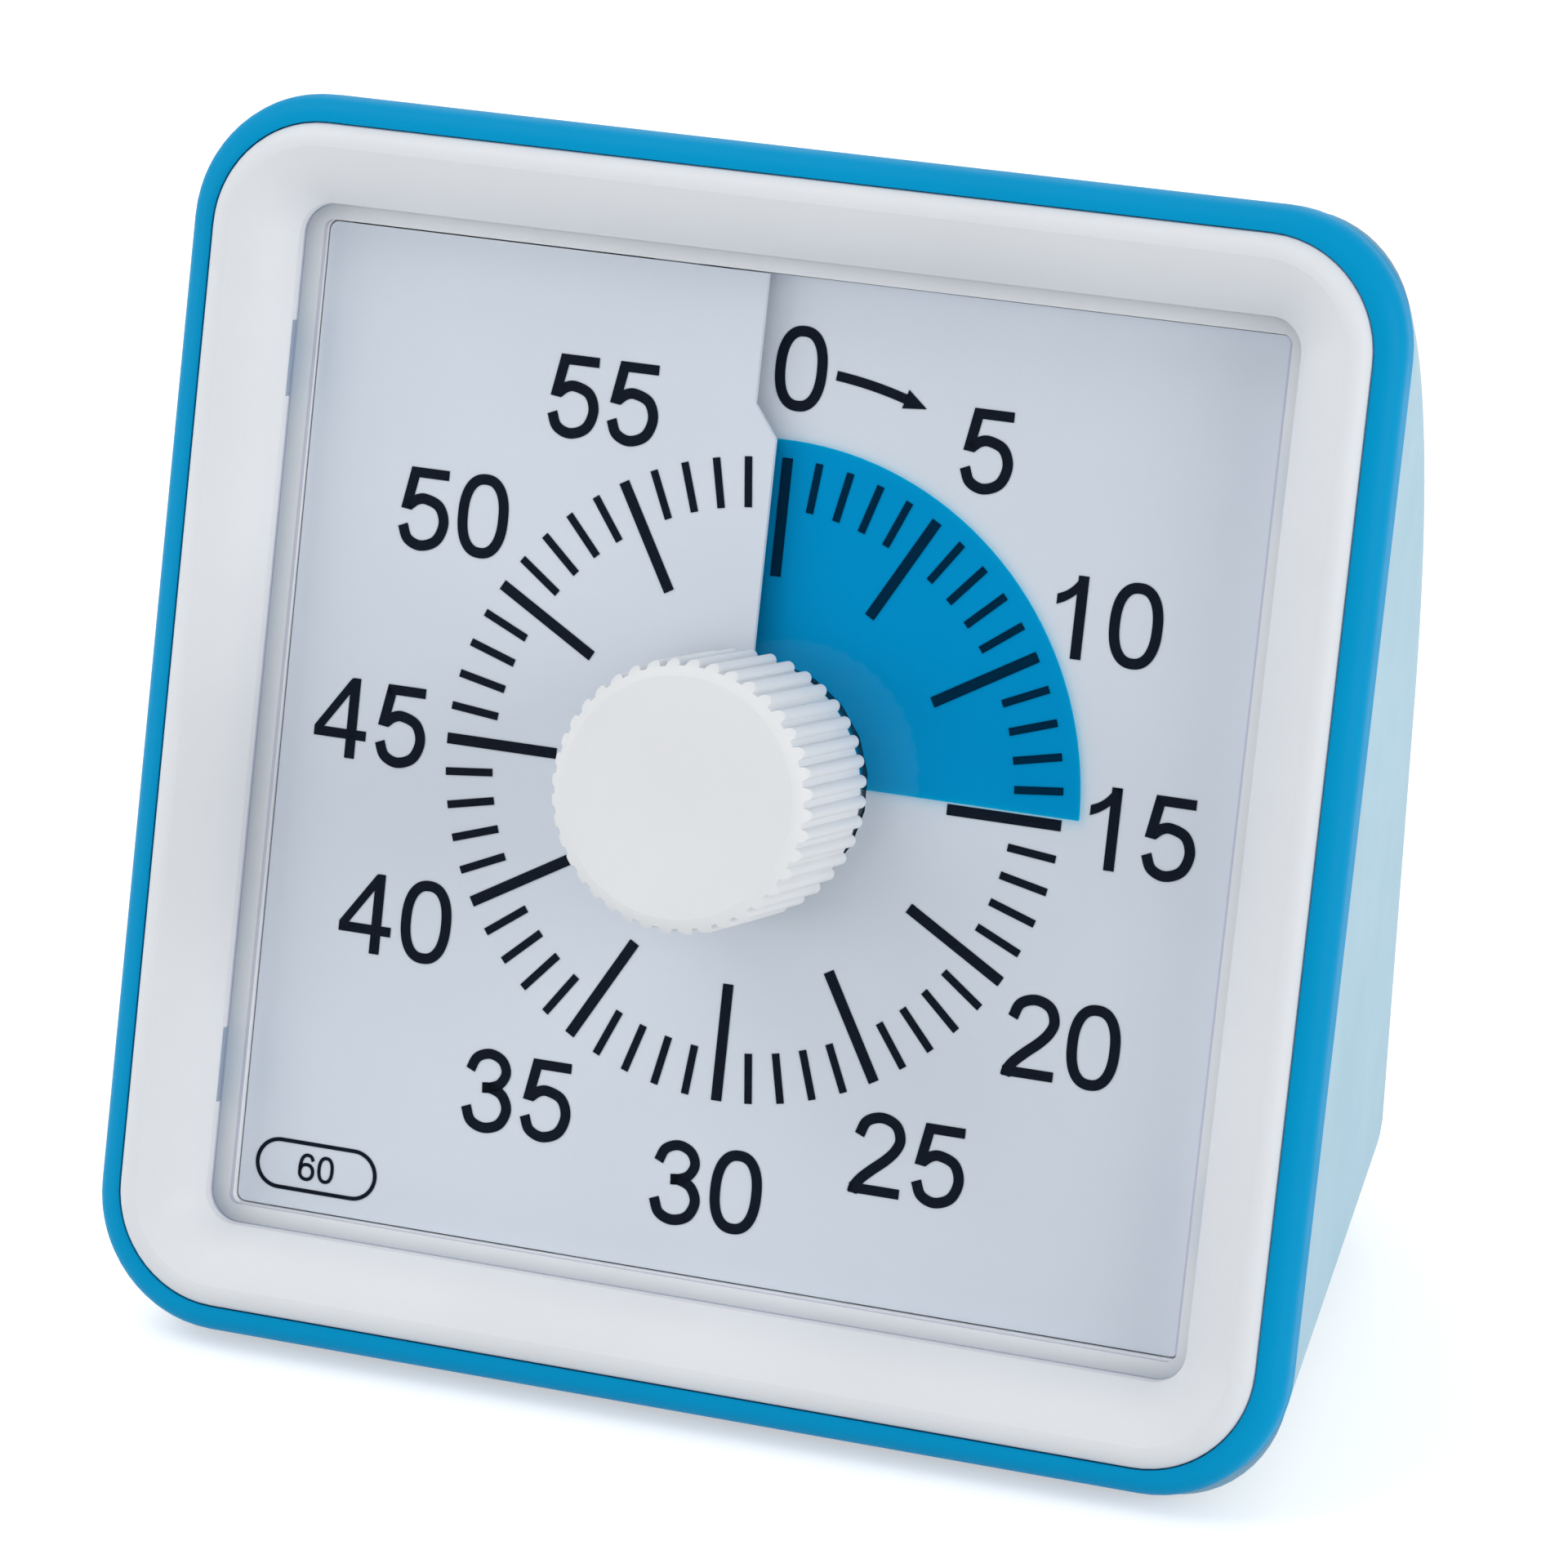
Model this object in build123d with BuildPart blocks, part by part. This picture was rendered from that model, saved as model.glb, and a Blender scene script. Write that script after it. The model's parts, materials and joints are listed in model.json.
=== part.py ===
"""Desk countdown timer: a square dial that leans back on a wedge-shaped housing.

A ribbed knob turns a blue film through a slit in the dial card, so that the blue
sector shows the minutes that are left. A small quartz movement runs the film back to
zero. Lengths are millimetres, angles are degrees. +Z is up, the dial faces -Y, and the
origin is the middle of the non-slip pad that the timer stands on.
"""

import math
import os

from build123d import *

os.makedirs("parts", exist_ok=True)

# ---------------------------------------------------------------- driving dimensions

# Rim, the front edge of the blue front frame
rim_width = 79.9
rim_step = 0.55             # the housing and the base stand this far inside the rim
rim_corner = 8.6
rim_front = 5.2
rim_back = 2.0
rim_front_round = 1.6
rim_back_round = 0.4

# Stance
dial_lean = 18.0            # the dial leans back by this angle
floor_drop = rim_width / 2 - rim_step   # from the dial's centre down to the base's line
pad_proud = 0.5             # the pad stands out of the base by this much
pad_sunk = 0.5              # and sits this deep in it
pad_inset = 6.0             # from the flat part of the base to the pad, across
pad_margin = 1.5            # and front to back

# Bezel
rim_border = 1.75           # the width of rim that shows round the bezel
bezel_width = rim_width - 2 * rim_border
bezel_corner = 7.2
bezel_frame = 5.1           # from the outer edge to the opening
bezel_collar = 1.1          # the part of the bezel that enters the frame's well
bezel_seat = 3.4
bezel_shoulder = 4.7        # where the outer wall starts to round over
bezel_crest = 5.95
bezel_crest_in = 1.5        # the crest's distance from the outer edge
bezel_lip = 2.85            # height of the opening's edge
bezel_fall = -22.0          # slope of the crown just inside the crest
bezel_gap = 0.03            # from the bezel's outer wall to the rim

# Window
window_top = 2.4
window_thickness = 0.9
window_flange_top = 1.95
window_bore = 7.6

# Dial card and film, one turn of a screw surface each
minutes = 60
film_pitch = 1.4            # rise of the card and the film in one turn
card_margin = 1.2           # from the bezel's opening to the card
card_width = bezel_width - 2 * (bezel_frame + card_margin)
card_thickness = 0.4
card_bore = 7.7
film_radius = 21.65
film_thickness = 0.2
film_above_card = 0.15
film_setting = 15           # the minutes shown at rest
film_edge_offset = 0.5      # the film's leading edge runs this far behind its radius
slit_offset = 0.5           # the slit lies this far left of the vertical, inside the film
slit_outer_offset = 2.1     # and this far outside it
slit_overlap = 1.5          # minutes of card that run on under the slit's upper edge
sheet_step = 3              # minutes between the sections of a screw surface
film_tail = 0.6             # minutes of film past a full turn
film_inner = 5.4
hub_radius = 7.2
hub_margin = 0.6

# Dial frame, the white recess that carries the card
ledge_height = 0.95
card_gap = 0.1
frame_floor_top = -2.4
frame_floor = 1.2
recess_corner = 0.6
post_width = 3.0
post_depth = 1.4
post_count = 12

# Knob and shaft
knob_radius = 8.1
rib_count = 40
rib_radius = 0.42
knob_bottom = 2.55
knob_front = 13.9
knob_edge_round = 1.5
knob_wall = 1.4
knob_face = 1.6
knob_boss_radius = 3.2
shaft_radius = 1.6
shaft_key_radius = 1.5
shaft_key_flat = 1.15
shaft_top = 9.5
shaft_end = -10.6
shaft_end_radius = 1.0
shoulder_radius = 2.6
shoulder_thickness = 0.5
collar_radius = 2.4
collar_thickness = 0.5
clutch_height = 0.8         # from the centre wheel's back to the collar
spring_washer_radius = 3.4
spring_washer_thickness = 0.15
spring_flat = 0.5

# Rear housing
housing_draft = 7.3         # the side walls lean in by this angle
housing_half_width = rim_width / 2 - rim_step
housing_corner = 7.6
housing_wall = 1.8
rear_depth = 42.8           # base length behind the dial plane, along its normal
back_rise = 36.2            # up the dial, from the foot of the flat back to its top
back_run = 13.3             # and forwards, over the same height
form_reach = 8.0            # the housing's form runs this far past the rim before it is cut

# Chassis
well_wall = 1.3
plate = 1.5

# Movement
case_width = 48.0
case_top = 17.0
case_bottom = -27.0
case_split = -11.0
case_back = -18.4
case_wall = 1.2
neck_radius = 3.0
neck_top = -2.6
gear_module = 0.3
pinion_teeth = 8
centre_teeth = 64
third_teeth = 60
fourth_teeth = 48
intermediate_teeth = 40
pressure_angle = 20.0
wheel_addendum = 0.65       # in modules
pinion_addendum = 0.95      # in modules
dedendum = 1.3              # in modules
flank_play = 0.045          # taken off each side of a tooth
flank_reach = 0.35          # in modules, from the pitch circle to the corners on a tooth's side
wheel_thickness = 0.6
pinion_length = 1.4
arbor_radius = 0.55
pivot_radius = 0.35
pivot_length = 0.7
end_shake = 0.1
spoke_holes = 5
spoke_hole_ring = 5.6
spoke_hole_radius = 1.6
centre_wheel_height = -7.7
third_wheel_height = -9.9
fourth_wheel_height = -11.5
intermediate_wheel_height = -13.1
third_bearing = 210.0       # direction from the centre to the third arbor
fourth_bearing = 310.0      # from the third arbor to the fourth
intermediate_bearing = 10.0
rotor_bearing = 25.0
magnet_radius = 2.0
magnet_length = 1.6
magnet_back = -16.4
stator_thickness = 0.8
stator_gap = 0.45
stator_offset = 1.3         # from the rotor to the stator's middle
stator_width = 12.0
stator_bottom = -12.2
stator_leg = 2.4
stator_bridge = 0.9
core_width = 2.4
flange = 0.6
winding_inset = 0.2
coil_radius = 2.2
coil_clearance = 1.0        # from the coil to the case's top wall
board_thickness = 1.0
board_back = -15.0
board_x = -8.0
board_y = 9.5
board_width = 22.0
board_height = 10.0
chip_radius = 3.0
chip_offset = 5.5           # from the board's middle
chip_height = 1.2
crystal_radius = 1.0
crystal_length = 6.0
post_radius = 1.0
stator_post_y = 1.0
board_post_inset = 2.0      # from the board's end to its post
case_corner = 3.0
lug_reach = 2.5
lug_radius = 2.2
lug_thickness = 1.5
lug_ends = (-20.0, 10.0)
movement_screw_radius = 0.9
movement_screw_head = 1.0

# Battery and its bay
cell_radius = 7.25
cell_length = 49.2
cell_nub_radius = 2.75
cell_nub_length = 1.3
cell_gap = 0.35
cell_drop = 20.2            # from the knee down the back to the cell's middle
cell_edge_round = 0.6
door_thickness = 1.6
door_gap = 0.2
bay_wall = 1.2
spring_room = 3.5           # behind the cell, when it presses the spring
door_overlap = 0.9
ridges = 6                  # on the door, for the thumb
ridge_pitch = 1.6
ridge_width = 0.7
ridge_length = 9.0
ridge_height = 0.4
ridge_inset = 4.0           # from the door's end to the outermost ridge
contact_thickness = 0.4
contact_width = 9.0
contact_corner = 1.5
spring_turns = 3
spring_bite = 0.1           # the spring's first turn sinks this far into its plate
spring_wire = 0.35
spring_radius = 2.6

# Sound
buzzer_radius = 6.0
buzzer_height = 4.5
buzzer_ring = 1.0
buzzer_x = 13.0
sound_drop = 4.6            # from the knee down the back to the switch and the buzzer
sound_hole_radius = 0.7
sound_holes = 6             # in a ring round the middle one
switch_x = -14.0
switch_travel = 3.0
switch_width = 4.0
switch_height = 3.0
switch_flange = 1.2
switch_plate = 1.0
switch_proud = 0.9
switch_round = 0.4
switch_depth = 4.0

# Snap tongues of the front frame, in notches of the bezel's lip
tongue_y = 22.95            # from the dial's centre to a tongue's middle
tongue_width = 4.7
tongue_reach = 0.9          # inwards from the well's wall
tongue_thickness = 0.5

# Screws
screw_inset = 12.4          # from the housing's side to the screws
screw_drop = 14.95          # from the rim's top edge down to the screws
screw_radius = 1.25
screw_head_radius = 2.4
screw_head = 1.6
tower_radius = 3.6
tower_front = -9.0
tower_web = 2.4

# Clearances
fit_gap = 0.1               # between pieces that drop into each other
running_gap = 0.05          # radial, round a shaft or pivot
knob_play = 0.025           # round the shaft's key in the knob
seam_reach = 0.5            # an edge this close to a smooth seam is that seam

# ---------------------------------------------------------------- reference planes

lean = math.radians(dial_lean)
back_foot = (-floor_drop + math.tan(lean) * rear_depth, -rear_depth)
back_knee = (back_foot[0] + back_rise, back_foot[1] + back_run)
base_middle = (rim_back - rear_depth) / 2
base_depth = (rim_back + rear_depth) / math.cos(lean)
DIAL = Plane(
    origin=(
        0,
        floor_drop * math.sin(lean) + base_middle / math.cos(lean),
        floor_drop * math.cos(lean) + pad_proud,
    ),
    x_dir=(1, 0, 0),
    z_dir=(0, -math.cos(lean), math.sin(lean)),
)
# Side view: x runs up the dial, y out of it
SIDE = Plane(DIAL.origin, x_dir=DIAL.y_dir, z_dir=DIAL.x_dir)
# Plan view: x runs across the dial, y out of it
PLAN = Plane(DIAL.origin, x_dir=DIAL.x_dir, z_dir=DIAL.y_dir * -1)


def dial(height=0.0):
    """The plane parallel to the dial at a height in front of it."""
    return DIAL.offset(height)


def radial(minute):
    """The half-plane through the dial's axis at a minute: x outwards, y out of the dial."""
    angle = math.radians(90 - 360 * minute / minutes)
    outwards = DIAL.x_dir * math.cos(angle) + DIAL.y_dir * math.sin(angle)
    return Plane(DIAL.origin, x_dir=outwards, z_dir=outwards.cross(DIAL.z_dir))


def finish(piece, name):
    """Label a finished piece and write it to its own file."""
    piece.part.label = name
    export_step(piece.part, f"parts/{name}.step")


# ---------------------------------------------------------------- shapes used more than once


def rear_form(inset=0.0):
    """The wedge behind the rim, shrunk by inset on every side and cut off at the rim's back."""
    front = rim_back + form_reach + inset
    slope = math.tan(lean)
    top_front = (rim_width / 2 - rim_back_round / 2, rim_back)
    along_back = (back_rise, back_run)
    with BuildPart() as form:
        with BuildSketch(SIDE):
            with BuildLine():
                crown = TangentArc(back_knee, top_front, tangent=along_back)
                end = crown % 1
                reach = front - rim_back
                top = (top_front[0] + reach * end.X / end.Y, front)
                sole = (-floor_drop - slope * front, front)
                Polyline(top_front, top, sole, back_foot, back_knee)
            make_face()
            if inset:
                offset(amount=-inset, kind=Kind.INTERSECTION, mode=Mode.REPLACE)
        extrude(amount=rim_width, both=True)
        spread = math.tan(math.radians(housing_draft))
        half = housing_half_width - inset / math.cos(math.radians(housing_draft))
        back = -rear_depth - rim_width
        with BuildSketch(PLAN):
            Polygon(
                (-half - spread * front, front),
                (half + spread * front, front),
                (half + spread * back, back),
                (-half - spread * back, back),
                align=None,
            )
        extrude(amount=rim_width, both=True, mode=Mode.INTERSECT)
        turned = [
            edge
            for edge in form.edges()
            if abs((edge.center() - DIAL.origin).dot(DIAL.z_dir) - (front - inset)) > seam_reach
        ]
        seams = [DIAL.from_local_coords(Vector(0, *point)) for point in (back_knee, top_front)]
        sharp = [edge for edge in turned if not is_seam(edge, seams, inset)]
        fillet(sharp, radius=housing_corner - inset)
        split(bisect_by=dial(rim_back), keep=Keep.BOTTOM)
    return form.part


def is_seam(edge, seams, inset):
    """True for an edge that runs across the wedge where two of its faces meet smoothly."""
    apart = [edge.center() - seam for seam in seams]
    reach = inset + seam_reach
    return any(math.hypot(gap.Y, gap.Z) < reach and abs(gap.X) < seam_reach for gap in apart)


def screw_sheet(first, last, inner, outer, thickness, height_at_zero):
    """A thin sheet that rises film_pitch in a turn, from one minute to another."""
    sections = math.ceil((last - first) / sheet_step)
    with BuildPart() as sheet:
        for step in range(sections + 1):
            minute = first + (last - first) * step / sections
            height = height_at_zero + film_pitch * minute / minutes
            with BuildSketch(radial(minute)):
                with Locations(((inner + outer) / 2, height)):
                    Rectangle(outer - inner, thickness)
        loft(ruled=True)
    return sheet.part


def tooth_half_angle(teeth, radius):
    """Half the angle that an involute tooth covers at a radius, with its play taken off."""
    pitch_radius = gear_module * teeth / 2
    base_radius = pitch_radius * math.cos(math.radians(pressure_angle))

    def involute(at):
        roll = math.acos(base_radius / max(at, base_radius))
        return math.tan(roll) - roll

    play = flank_play / pitch_radius
    return math.pi / 2 / teeth - play + involute(pitch_radius) - involute(radius)


def gear_points(teeth, addendum, turn=0.0):
    """The corners of a gear's outline, with three straight lines to a side of a tooth."""
    pitch_radius = gear_module * teeth / 2
    root = pitch_radius - dedendum * gear_module
    tip = pitch_radius + addendum * gear_module
    reach_of_flank = flank_reach * gear_module
    radii = (root, pitch_radius - reach_of_flank, pitch_radius + reach_of_flank, tip)
    points = []
    for tooth in range(teeth):
        middle = math.radians(turn) + 2 * math.pi * tooth / teeth
        for side, reach in ((-1, radii), (1, reversed(radii))):
            for radius in reach:
                angle = middle + side * tooth_half_angle(teeth, radius)
                points.append((radius * math.cos(angle), radius * math.sin(angle)))
    return points


def step_from(start, bearing, distance):
    """The point at a distance and bearing from another, on the dial plane."""
    angle = math.radians(bearing)
    return (start[0] + distance * math.cos(angle), start[1] + distance * math.sin(angle))


def mesh_distance(teeth):
    """Distance between a wheel's arbor and its pinion's."""
    return gear_module * (teeth + pinion_teeth) / 2


def pinion_turn(bearing, wheel_teeth, wheel_turn):
    """The turn that puts a gap of the pinion at the wheel's tooth on the line of centres."""
    tooth_pitch = 360 / wheel_teeth
    offset_at_line = (bearing - wheel_turn) % tooth_pitch
    travel = offset_at_line * wheel_teeth / pinion_teeth
    return bearing + 180 + travel + 180 / pinion_teeth


centre = (0.0, 0.0)
third = step_from(centre, third_bearing, mesh_distance(centre_teeth))
fourth = step_from(third, fourth_bearing, mesh_distance(third_teeth))
intermediate = step_from(fourth, intermediate_bearing, mesh_distance(fourth_teeth))
rotor_axis = step_from(intermediate, rotor_bearing, mesh_distance(intermediate_teeth))

third_turn = pinion_turn(third_bearing, centre_teeth, 0)
fourth_turn = pinion_turn(fourth_bearing, third_teeth, third_turn)
intermediate_turn = pinion_turn(intermediate_bearing, fourth_teeth, fourth_turn)
rotor_turn = pinion_turn(rotor_bearing, intermediate_teeth, intermediate_turn)

case_front = -plate + frame_floor_top - frame_floor
case_front_inner = case_front - case_wall
case_back_inner = case_back + case_wall
case_height = case_top - case_bottom
case_middle = (case_top + case_bottom) / 2
shoulder_back = centre_wheel_height + wheel_thickness / 2 + running_gap
collar_back = centre_wheel_height - wheel_thickness / 2 - clutch_height - collar_thickness

# The flat back: x to the left seen from the front, y up, z outwards
back_angle = math.atan2(back_run, back_rise)
back_normal = DIAL.y_dir * math.sin(back_angle) - DIAL.z_dir * math.cos(back_angle)
BACK = Plane(
    DIAL.from_local_coords(Vector(0, *back_knee)),
    x_dir=DIAL.x_dir * -1,
    z_dir=back_normal,
)

# ---------------------------------------------------------------- front frame

window_width = bezel_width - 2 * bezel_frame - 2 * fit_gap
well_width = bezel_width - 2 * (bezel_frame - bezel_collar) + 2 * fit_gap
well_corner = bezel_corner - bezel_frame + bezel_collar + fit_gap
spigot_width = well_width + 2 * well_wall
frame_width = well_width - 2 * fit_gap
frame_corner = well_corner - fit_gap
frame_back = frame_floor_top - frame_floor
screw_x = housing_half_width - screw_inset
screw_y = rim_width / 2 - screw_drop
screw_points = ((-screw_x, screw_y), (screw_x, screw_y))
lug_points = [(side * (case_width / 2 + lug_reach), end) for side in (-1, 1) for end in lug_ends]
tongue_points = [(x, y) for x in (-well_width / 2, well_width / 2) for y in (-tongue_y, tongue_y)]
tongue_floor = window_flange_top + fit_gap / 2

with BuildPart() as spigot:
    # The wall that enters the rear housing, trimmed to the housing's inside
    with BuildSketch(dial(case_front)):
        RectangleRounded(spigot_width, spigot_width, well_corner + well_wall)
    extrude(amount=rim_back - case_front)
    add(rear_form(housing_wall + fit_gap), mode=Mode.INTERSECT)

with BuildPart() as front_frame:
    with BuildSketch(dial(rim_back)):
        RectangleRounded(rim_width, rim_width, rim_corner)
    extrude(amount=rim_front - rim_back)
    rim_rings = front_frame.faces().sort_by(Axis(DIAL.origin, DIAL.z_dir))
    fillet(rim_rings[-1].edges(), radius=rim_front_round)
    fillet(front_frame.faces().sort_by(Axis(DIAL.origin, DIAL.z_dir))[0].edges(), radius=rim_back_round)
    add(spigot.part)
    with BuildSketch(dial(bezel_seat)):
        seat_width = bezel_width + 2 * bezel_gap
        RectangleRounded(seat_width, seat_width, bezel_corner + bezel_gap)
    extrude(amount=rim_front, mode=Mode.SUBTRACT)
    with BuildSketch(dial(frame_back)):
        RectangleRounded(well_width, well_width, well_corner)
    extrude(amount=rim_front - frame_back, mode=Mode.SUBTRACT)
    # Snap tongues over the window's flange
    with BuildSketch(dial(tongue_floor)):
        with Locations(*tongue_points):
            Rectangle(2 * tongue_reach, tongue_width)
        Rectangle(spigot_width, spigot_width, mode=Mode.INTERSECT)
    extrude(amount=tongue_thickness)
    with BuildSketch(dial(case_front)):
        Circle(neck_radius + fit_gap)
    extrude(amount=plate, mode=Mode.SUBTRACT)
    with BuildSketch(dial(case_front)):
        with Locations(*screw_points):
            Circle(tower_radius)
    extrude(amount=tower_front - case_front)
    with BuildSketch(dial(tower_front)):
        with Locations(*screw_points):
            Circle(screw_radius)
    extrude(amount=case_front - tower_front, mode=Mode.SUBTRACT)
    with BuildSketch(dial(case_front)):
        with Locations(*lug_points):
            Circle(movement_screw_radius)
    extrude(amount=plate, mode=Mode.SUBTRACT)
finish(front_frame, "front_frame")

# ---------------------------------------------------------------- bezel

with BuildSketch(dial()) as bezel_outline:
    RectangleRounded(bezel_width, bezel_width, bezel_corner)
bezel_path = bezel_outline.sketch.wire()
start = bezel_path @ 0
inwards = DIAL.z_dir.cross(bezel_path % 0)
if inwards.dot(DIAL.origin - start) < 0:
    inwards = inwards * -1

with BuildPart() as bezel:
    with BuildSketch(Plane(start, x_dir=inwards, z_dir=inwards.cross(DIAL.z_dir))):
        with BuildLine():
            wall = Line((0, bezel_seat), (0, bezel_shoulder))
            shoulder = TangentArc(wall @ 1, (bezel_crest_in, bezel_crest), tangent=(0, 1))
            fall = (math.cos(math.radians(bezel_fall)), math.sin(math.radians(bezel_fall)))
            crown = TangentArc(shoulder @ 1, (bezel_frame, bezel_lip), tangent=fall)
            Polyline(
                crown @ 1,
                (bezel_frame, window_flange_top),
                (bezel_frame - bezel_collar, window_flange_top),
                (bezel_frame - bezel_collar, bezel_seat),
                wall @ 0,
            )
        make_face()
    sweep(path=bezel_path)
    with BuildSketch(dial(window_flange_top)):
        with Locations(*tongue_points):
            Rectangle(2 * (tongue_reach + bezel_collar), tongue_width + 2 * fit_gap)
    extrude(amount=tongue_floor + tongue_thickness + fit_gap - window_flange_top, mode=Mode.SUBTRACT)
finish(bezel, "bezel")

# ---------------------------------------------------------------- window

window_corner = bezel_corner - bezel_frame - fit_gap
recess_width = card_width + 2 * card_gap

with BuildPart() as window:
    with BuildSketch(dial(ledge_height)):
        RectangleRounded(frame_width, frame_width, frame_corner)
    extrude(amount=window_flange_top - ledge_height)
    with BuildSketch(dial(window_flange_top)):
        RectangleRounded(window_width, window_width, window_corner)
    extrude(amount=window_top - window_flange_top)
    with BuildSketch(dial(ledge_height)):
        RectangleRounded(recess_width, recess_width, recess_corner)
    extrude(amount=window_top - window_thickness - ledge_height, mode=Mode.SUBTRACT)
    with BuildSketch(dial(ledge_height)):
        Circle(window_bore)
    extrude(amount=window_top, mode=Mode.SUBTRACT)
finish(window, "window")

# ---------------------------------------------------------------- dial frame and card


def card_height(minute):
    """The height of the card's middle at a minute."""
    return film_pitch * (minute / minutes - 0.5)


with BuildPart() as dial_frame:
    with BuildSketch(dial(frame_back)):
        RectangleRounded(frame_width, frame_width, frame_corner)
    extrude(amount=ledge_height - frame_back)
    with BuildSketch(dial(frame_floor_top)):
        RectangleRounded(recess_width, recess_width, recess_corner)
    extrude(amount=ledge_height - frame_floor_top, mode=Mode.SUBTRACT)
    with BuildSketch(dial(frame_back)):
        Circle(neck_radius + fit_gap)
    extrude(amount=frame_floor, mode=Mode.SUBTRACT)
    # Posts that carry the card's edge, each as high as the card is there
    for post in range(post_count):
        minute = (post + 0.5) * minutes / post_count
        angle = math.radians(90 - 360 * minute / minutes)
        reach = (recess_width - post_depth) / 2
        stretch = reach / max(abs(math.cos(angle)), abs(math.sin(angle)))
        card_underside = card_height(minute) - card_thickness / 2 - fit_gap / 2
        with BuildSketch(dial(frame_floor_top)):
            with Locations((stretch * math.cos(angle), stretch * math.sin(angle))):
                on_side = abs(math.cos(angle)) > abs(math.sin(angle))
                Rectangle(
                    post_depth if on_side else post_width,
                    post_width if on_side else post_depth,
                )
        extrude(amount=card_underside - frame_floor_top)
finish(dial_frame, "dial_frame")

with BuildPart() as dial_card:
    add(screw_sheet(-slit_overlap, minutes, card_bore, card_width, card_thickness, card_height(0)))
    with BuildSketch(dial(-film_pitch)):
        RectangleRounded(card_width, card_width, recess_corner)
    extrude(amount=2 * film_pitch, mode=Mode.INTERSECT)
    # The slit's upper edge steps aside beyond the film
    with BuildSketch(dial()):
        with BuildLine():
            Polyline(
                (-slit_offset, 0),
                (-slit_offset, film_radius),
                (-slit_outer_offset, film_radius + slit_outer_offset),
                (-slit_outer_offset, card_width),
                (slit_outer_offset, card_width),
                (slit_outer_offset, 0),
                close=True,
            )
        make_face()
    extrude(amount=film_pitch, mode=Mode.SUBTRACT)
finish(dial_card, "dial_card")

# ---------------------------------------------------------------- film and its hub

film_at_zero = card_height(0) + card_thickness / 2 + film_above_card + film_thickness / 2
film_low = film_at_zero + film_pitch * (film_setting - minutes) / minutes
film_high = film_at_zero + film_pitch * film_setting / minutes

with BuildPart() as time_disc:
    tail = film_setting - minutes - film_tail
    add(screw_sheet(tail, film_setting, film_inner, 2 * film_radius, film_thickness, film_at_zero))
    with BuildSketch(dial(-2 * film_pitch)):
        Circle(film_radius)
    extrude(amount=4 * film_pitch, mode=Mode.INTERSECT)
    # The leading edge runs beside its radius
    edge_plane = radial(film_setting)
    with BuildSketch(edge_plane):
        with Locations((film_radius / 2 + film_inner / 2, film_high)):
            Rectangle(2 * film_radius, film_pitch / 2)
    extrude(amount=-film_edge_offset, mode=Mode.SUBTRACT)
finish(time_disc, "time_disc")


def shaft_key(play=0.0):
    """The shaft's section with its two flats, grown by play on every side."""
    radius = shaft_key_radius + play
    with BuildSketch() as key:
        Circle(radius)
        Rectangle(2 * radius, 2 * (shaft_key_flat + play), mode=Mode.INTERSECT)
    return key.sketch


with BuildPart() as disc_hub:
    with BuildSketch(dial(film_low - hub_margin)):
        Circle(hub_radius)
        add(shaft_key(running_gap), mode=Mode.SUBTRACT)
    extrude(amount=film_high - film_low + 2 * hub_margin)
    add(time_disc.part, mode=Mode.SUBTRACT)
finish(disc_hub, "disc_hub")

# ---------------------------------------------------------------- knob and shaft

with BuildPart() as knob:
    with BuildSketch(dial(knob_bottom)):
        Circle(knob_radius)
        with PolarLocations(knob_radius, rib_count):
            Circle(rib_radius)
    extrude(amount=knob_front - knob_bottom)
    # The front edge is rounded, and the ribs fade out over it
    with BuildSketch(SIDE):
        with BuildLine():
            outer = knob_radius + rib_radius + fit_gap
            rise = Line((outer, knob_bottom), (outer, knob_front - knob_edge_round))
            over = TangentArc(
                rise @ 1, (knob_radius - knob_edge_round, knob_front), tangent=(0, 1)
            )
            Polyline(over @ 1, (0, knob_front), (0, knob_bottom), rise @ 0)
        make_face()
    revolve(axis=Axis(DIAL.origin, DIAL.z_dir), mode=Mode.INTERSECT)
    with BuildSketch(dial(knob_bottom)):
        Circle(knob_radius - knob_wall)
        Circle(knob_boss_radius, mode=Mode.SUBTRACT)
    extrude(amount=knob_front - knob_face - knob_bottom, mode=Mode.SUBTRACT)
    with BuildSketch(dial(knob_bottom)):
        add(shaft_key(knob_play))
    extrude(amount=shaft_top + fit_gap - knob_bottom, mode=Mode.SUBTRACT)
finish(knob, "knob")

with BuildPart() as knob_shaft:
    with BuildSketch(dial(neck_top)):
        add(shaft_key())
    extrude(amount=shaft_top - neck_top)
    with BuildSketch(dial(collar_back)):
        Circle(shaft_radius)
    extrude(amount=neck_top - collar_back)
    with BuildSketch(dial(shoulder_back)):
        Circle(shoulder_radius)
    extrude(amount=shoulder_thickness)
    with BuildSketch(dial(collar_back)):
        Circle(collar_radius)
    extrude(amount=collar_thickness)
    with BuildSketch(dial(shaft_end)):
        Circle(shaft_end_radius)
    extrude(amount=collar_back - shaft_end)
finish(knob_shaft, "knob_shaft")

# The dished spring washer that presses the centre wheel against the shaft's shoulder
with BuildPart() as clutch_spring:
    with BuildSketch(SIDE):
        inner = shaft_radius + running_gap
        back = collar_back + collar_thickness
        front = centre_wheel_height - wheel_thickness / 2 - running_gap
        with BuildLine():
            Polyline(
                (inner, back),
                (inner + spring_flat, back),
                (spring_washer_radius, front - spring_washer_thickness),
                (spring_washer_radius, front),
                (spring_washer_radius - spring_flat, front),
                (inner, back + spring_washer_thickness),
                close=True,
            )
        make_face()
    revolve(axis=Axis(DIAL.origin, DIAL.z_dir))
finish(clutch_spring, "clutch_spring")

# ---------------------------------------------------------------- wheels of the movement


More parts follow.
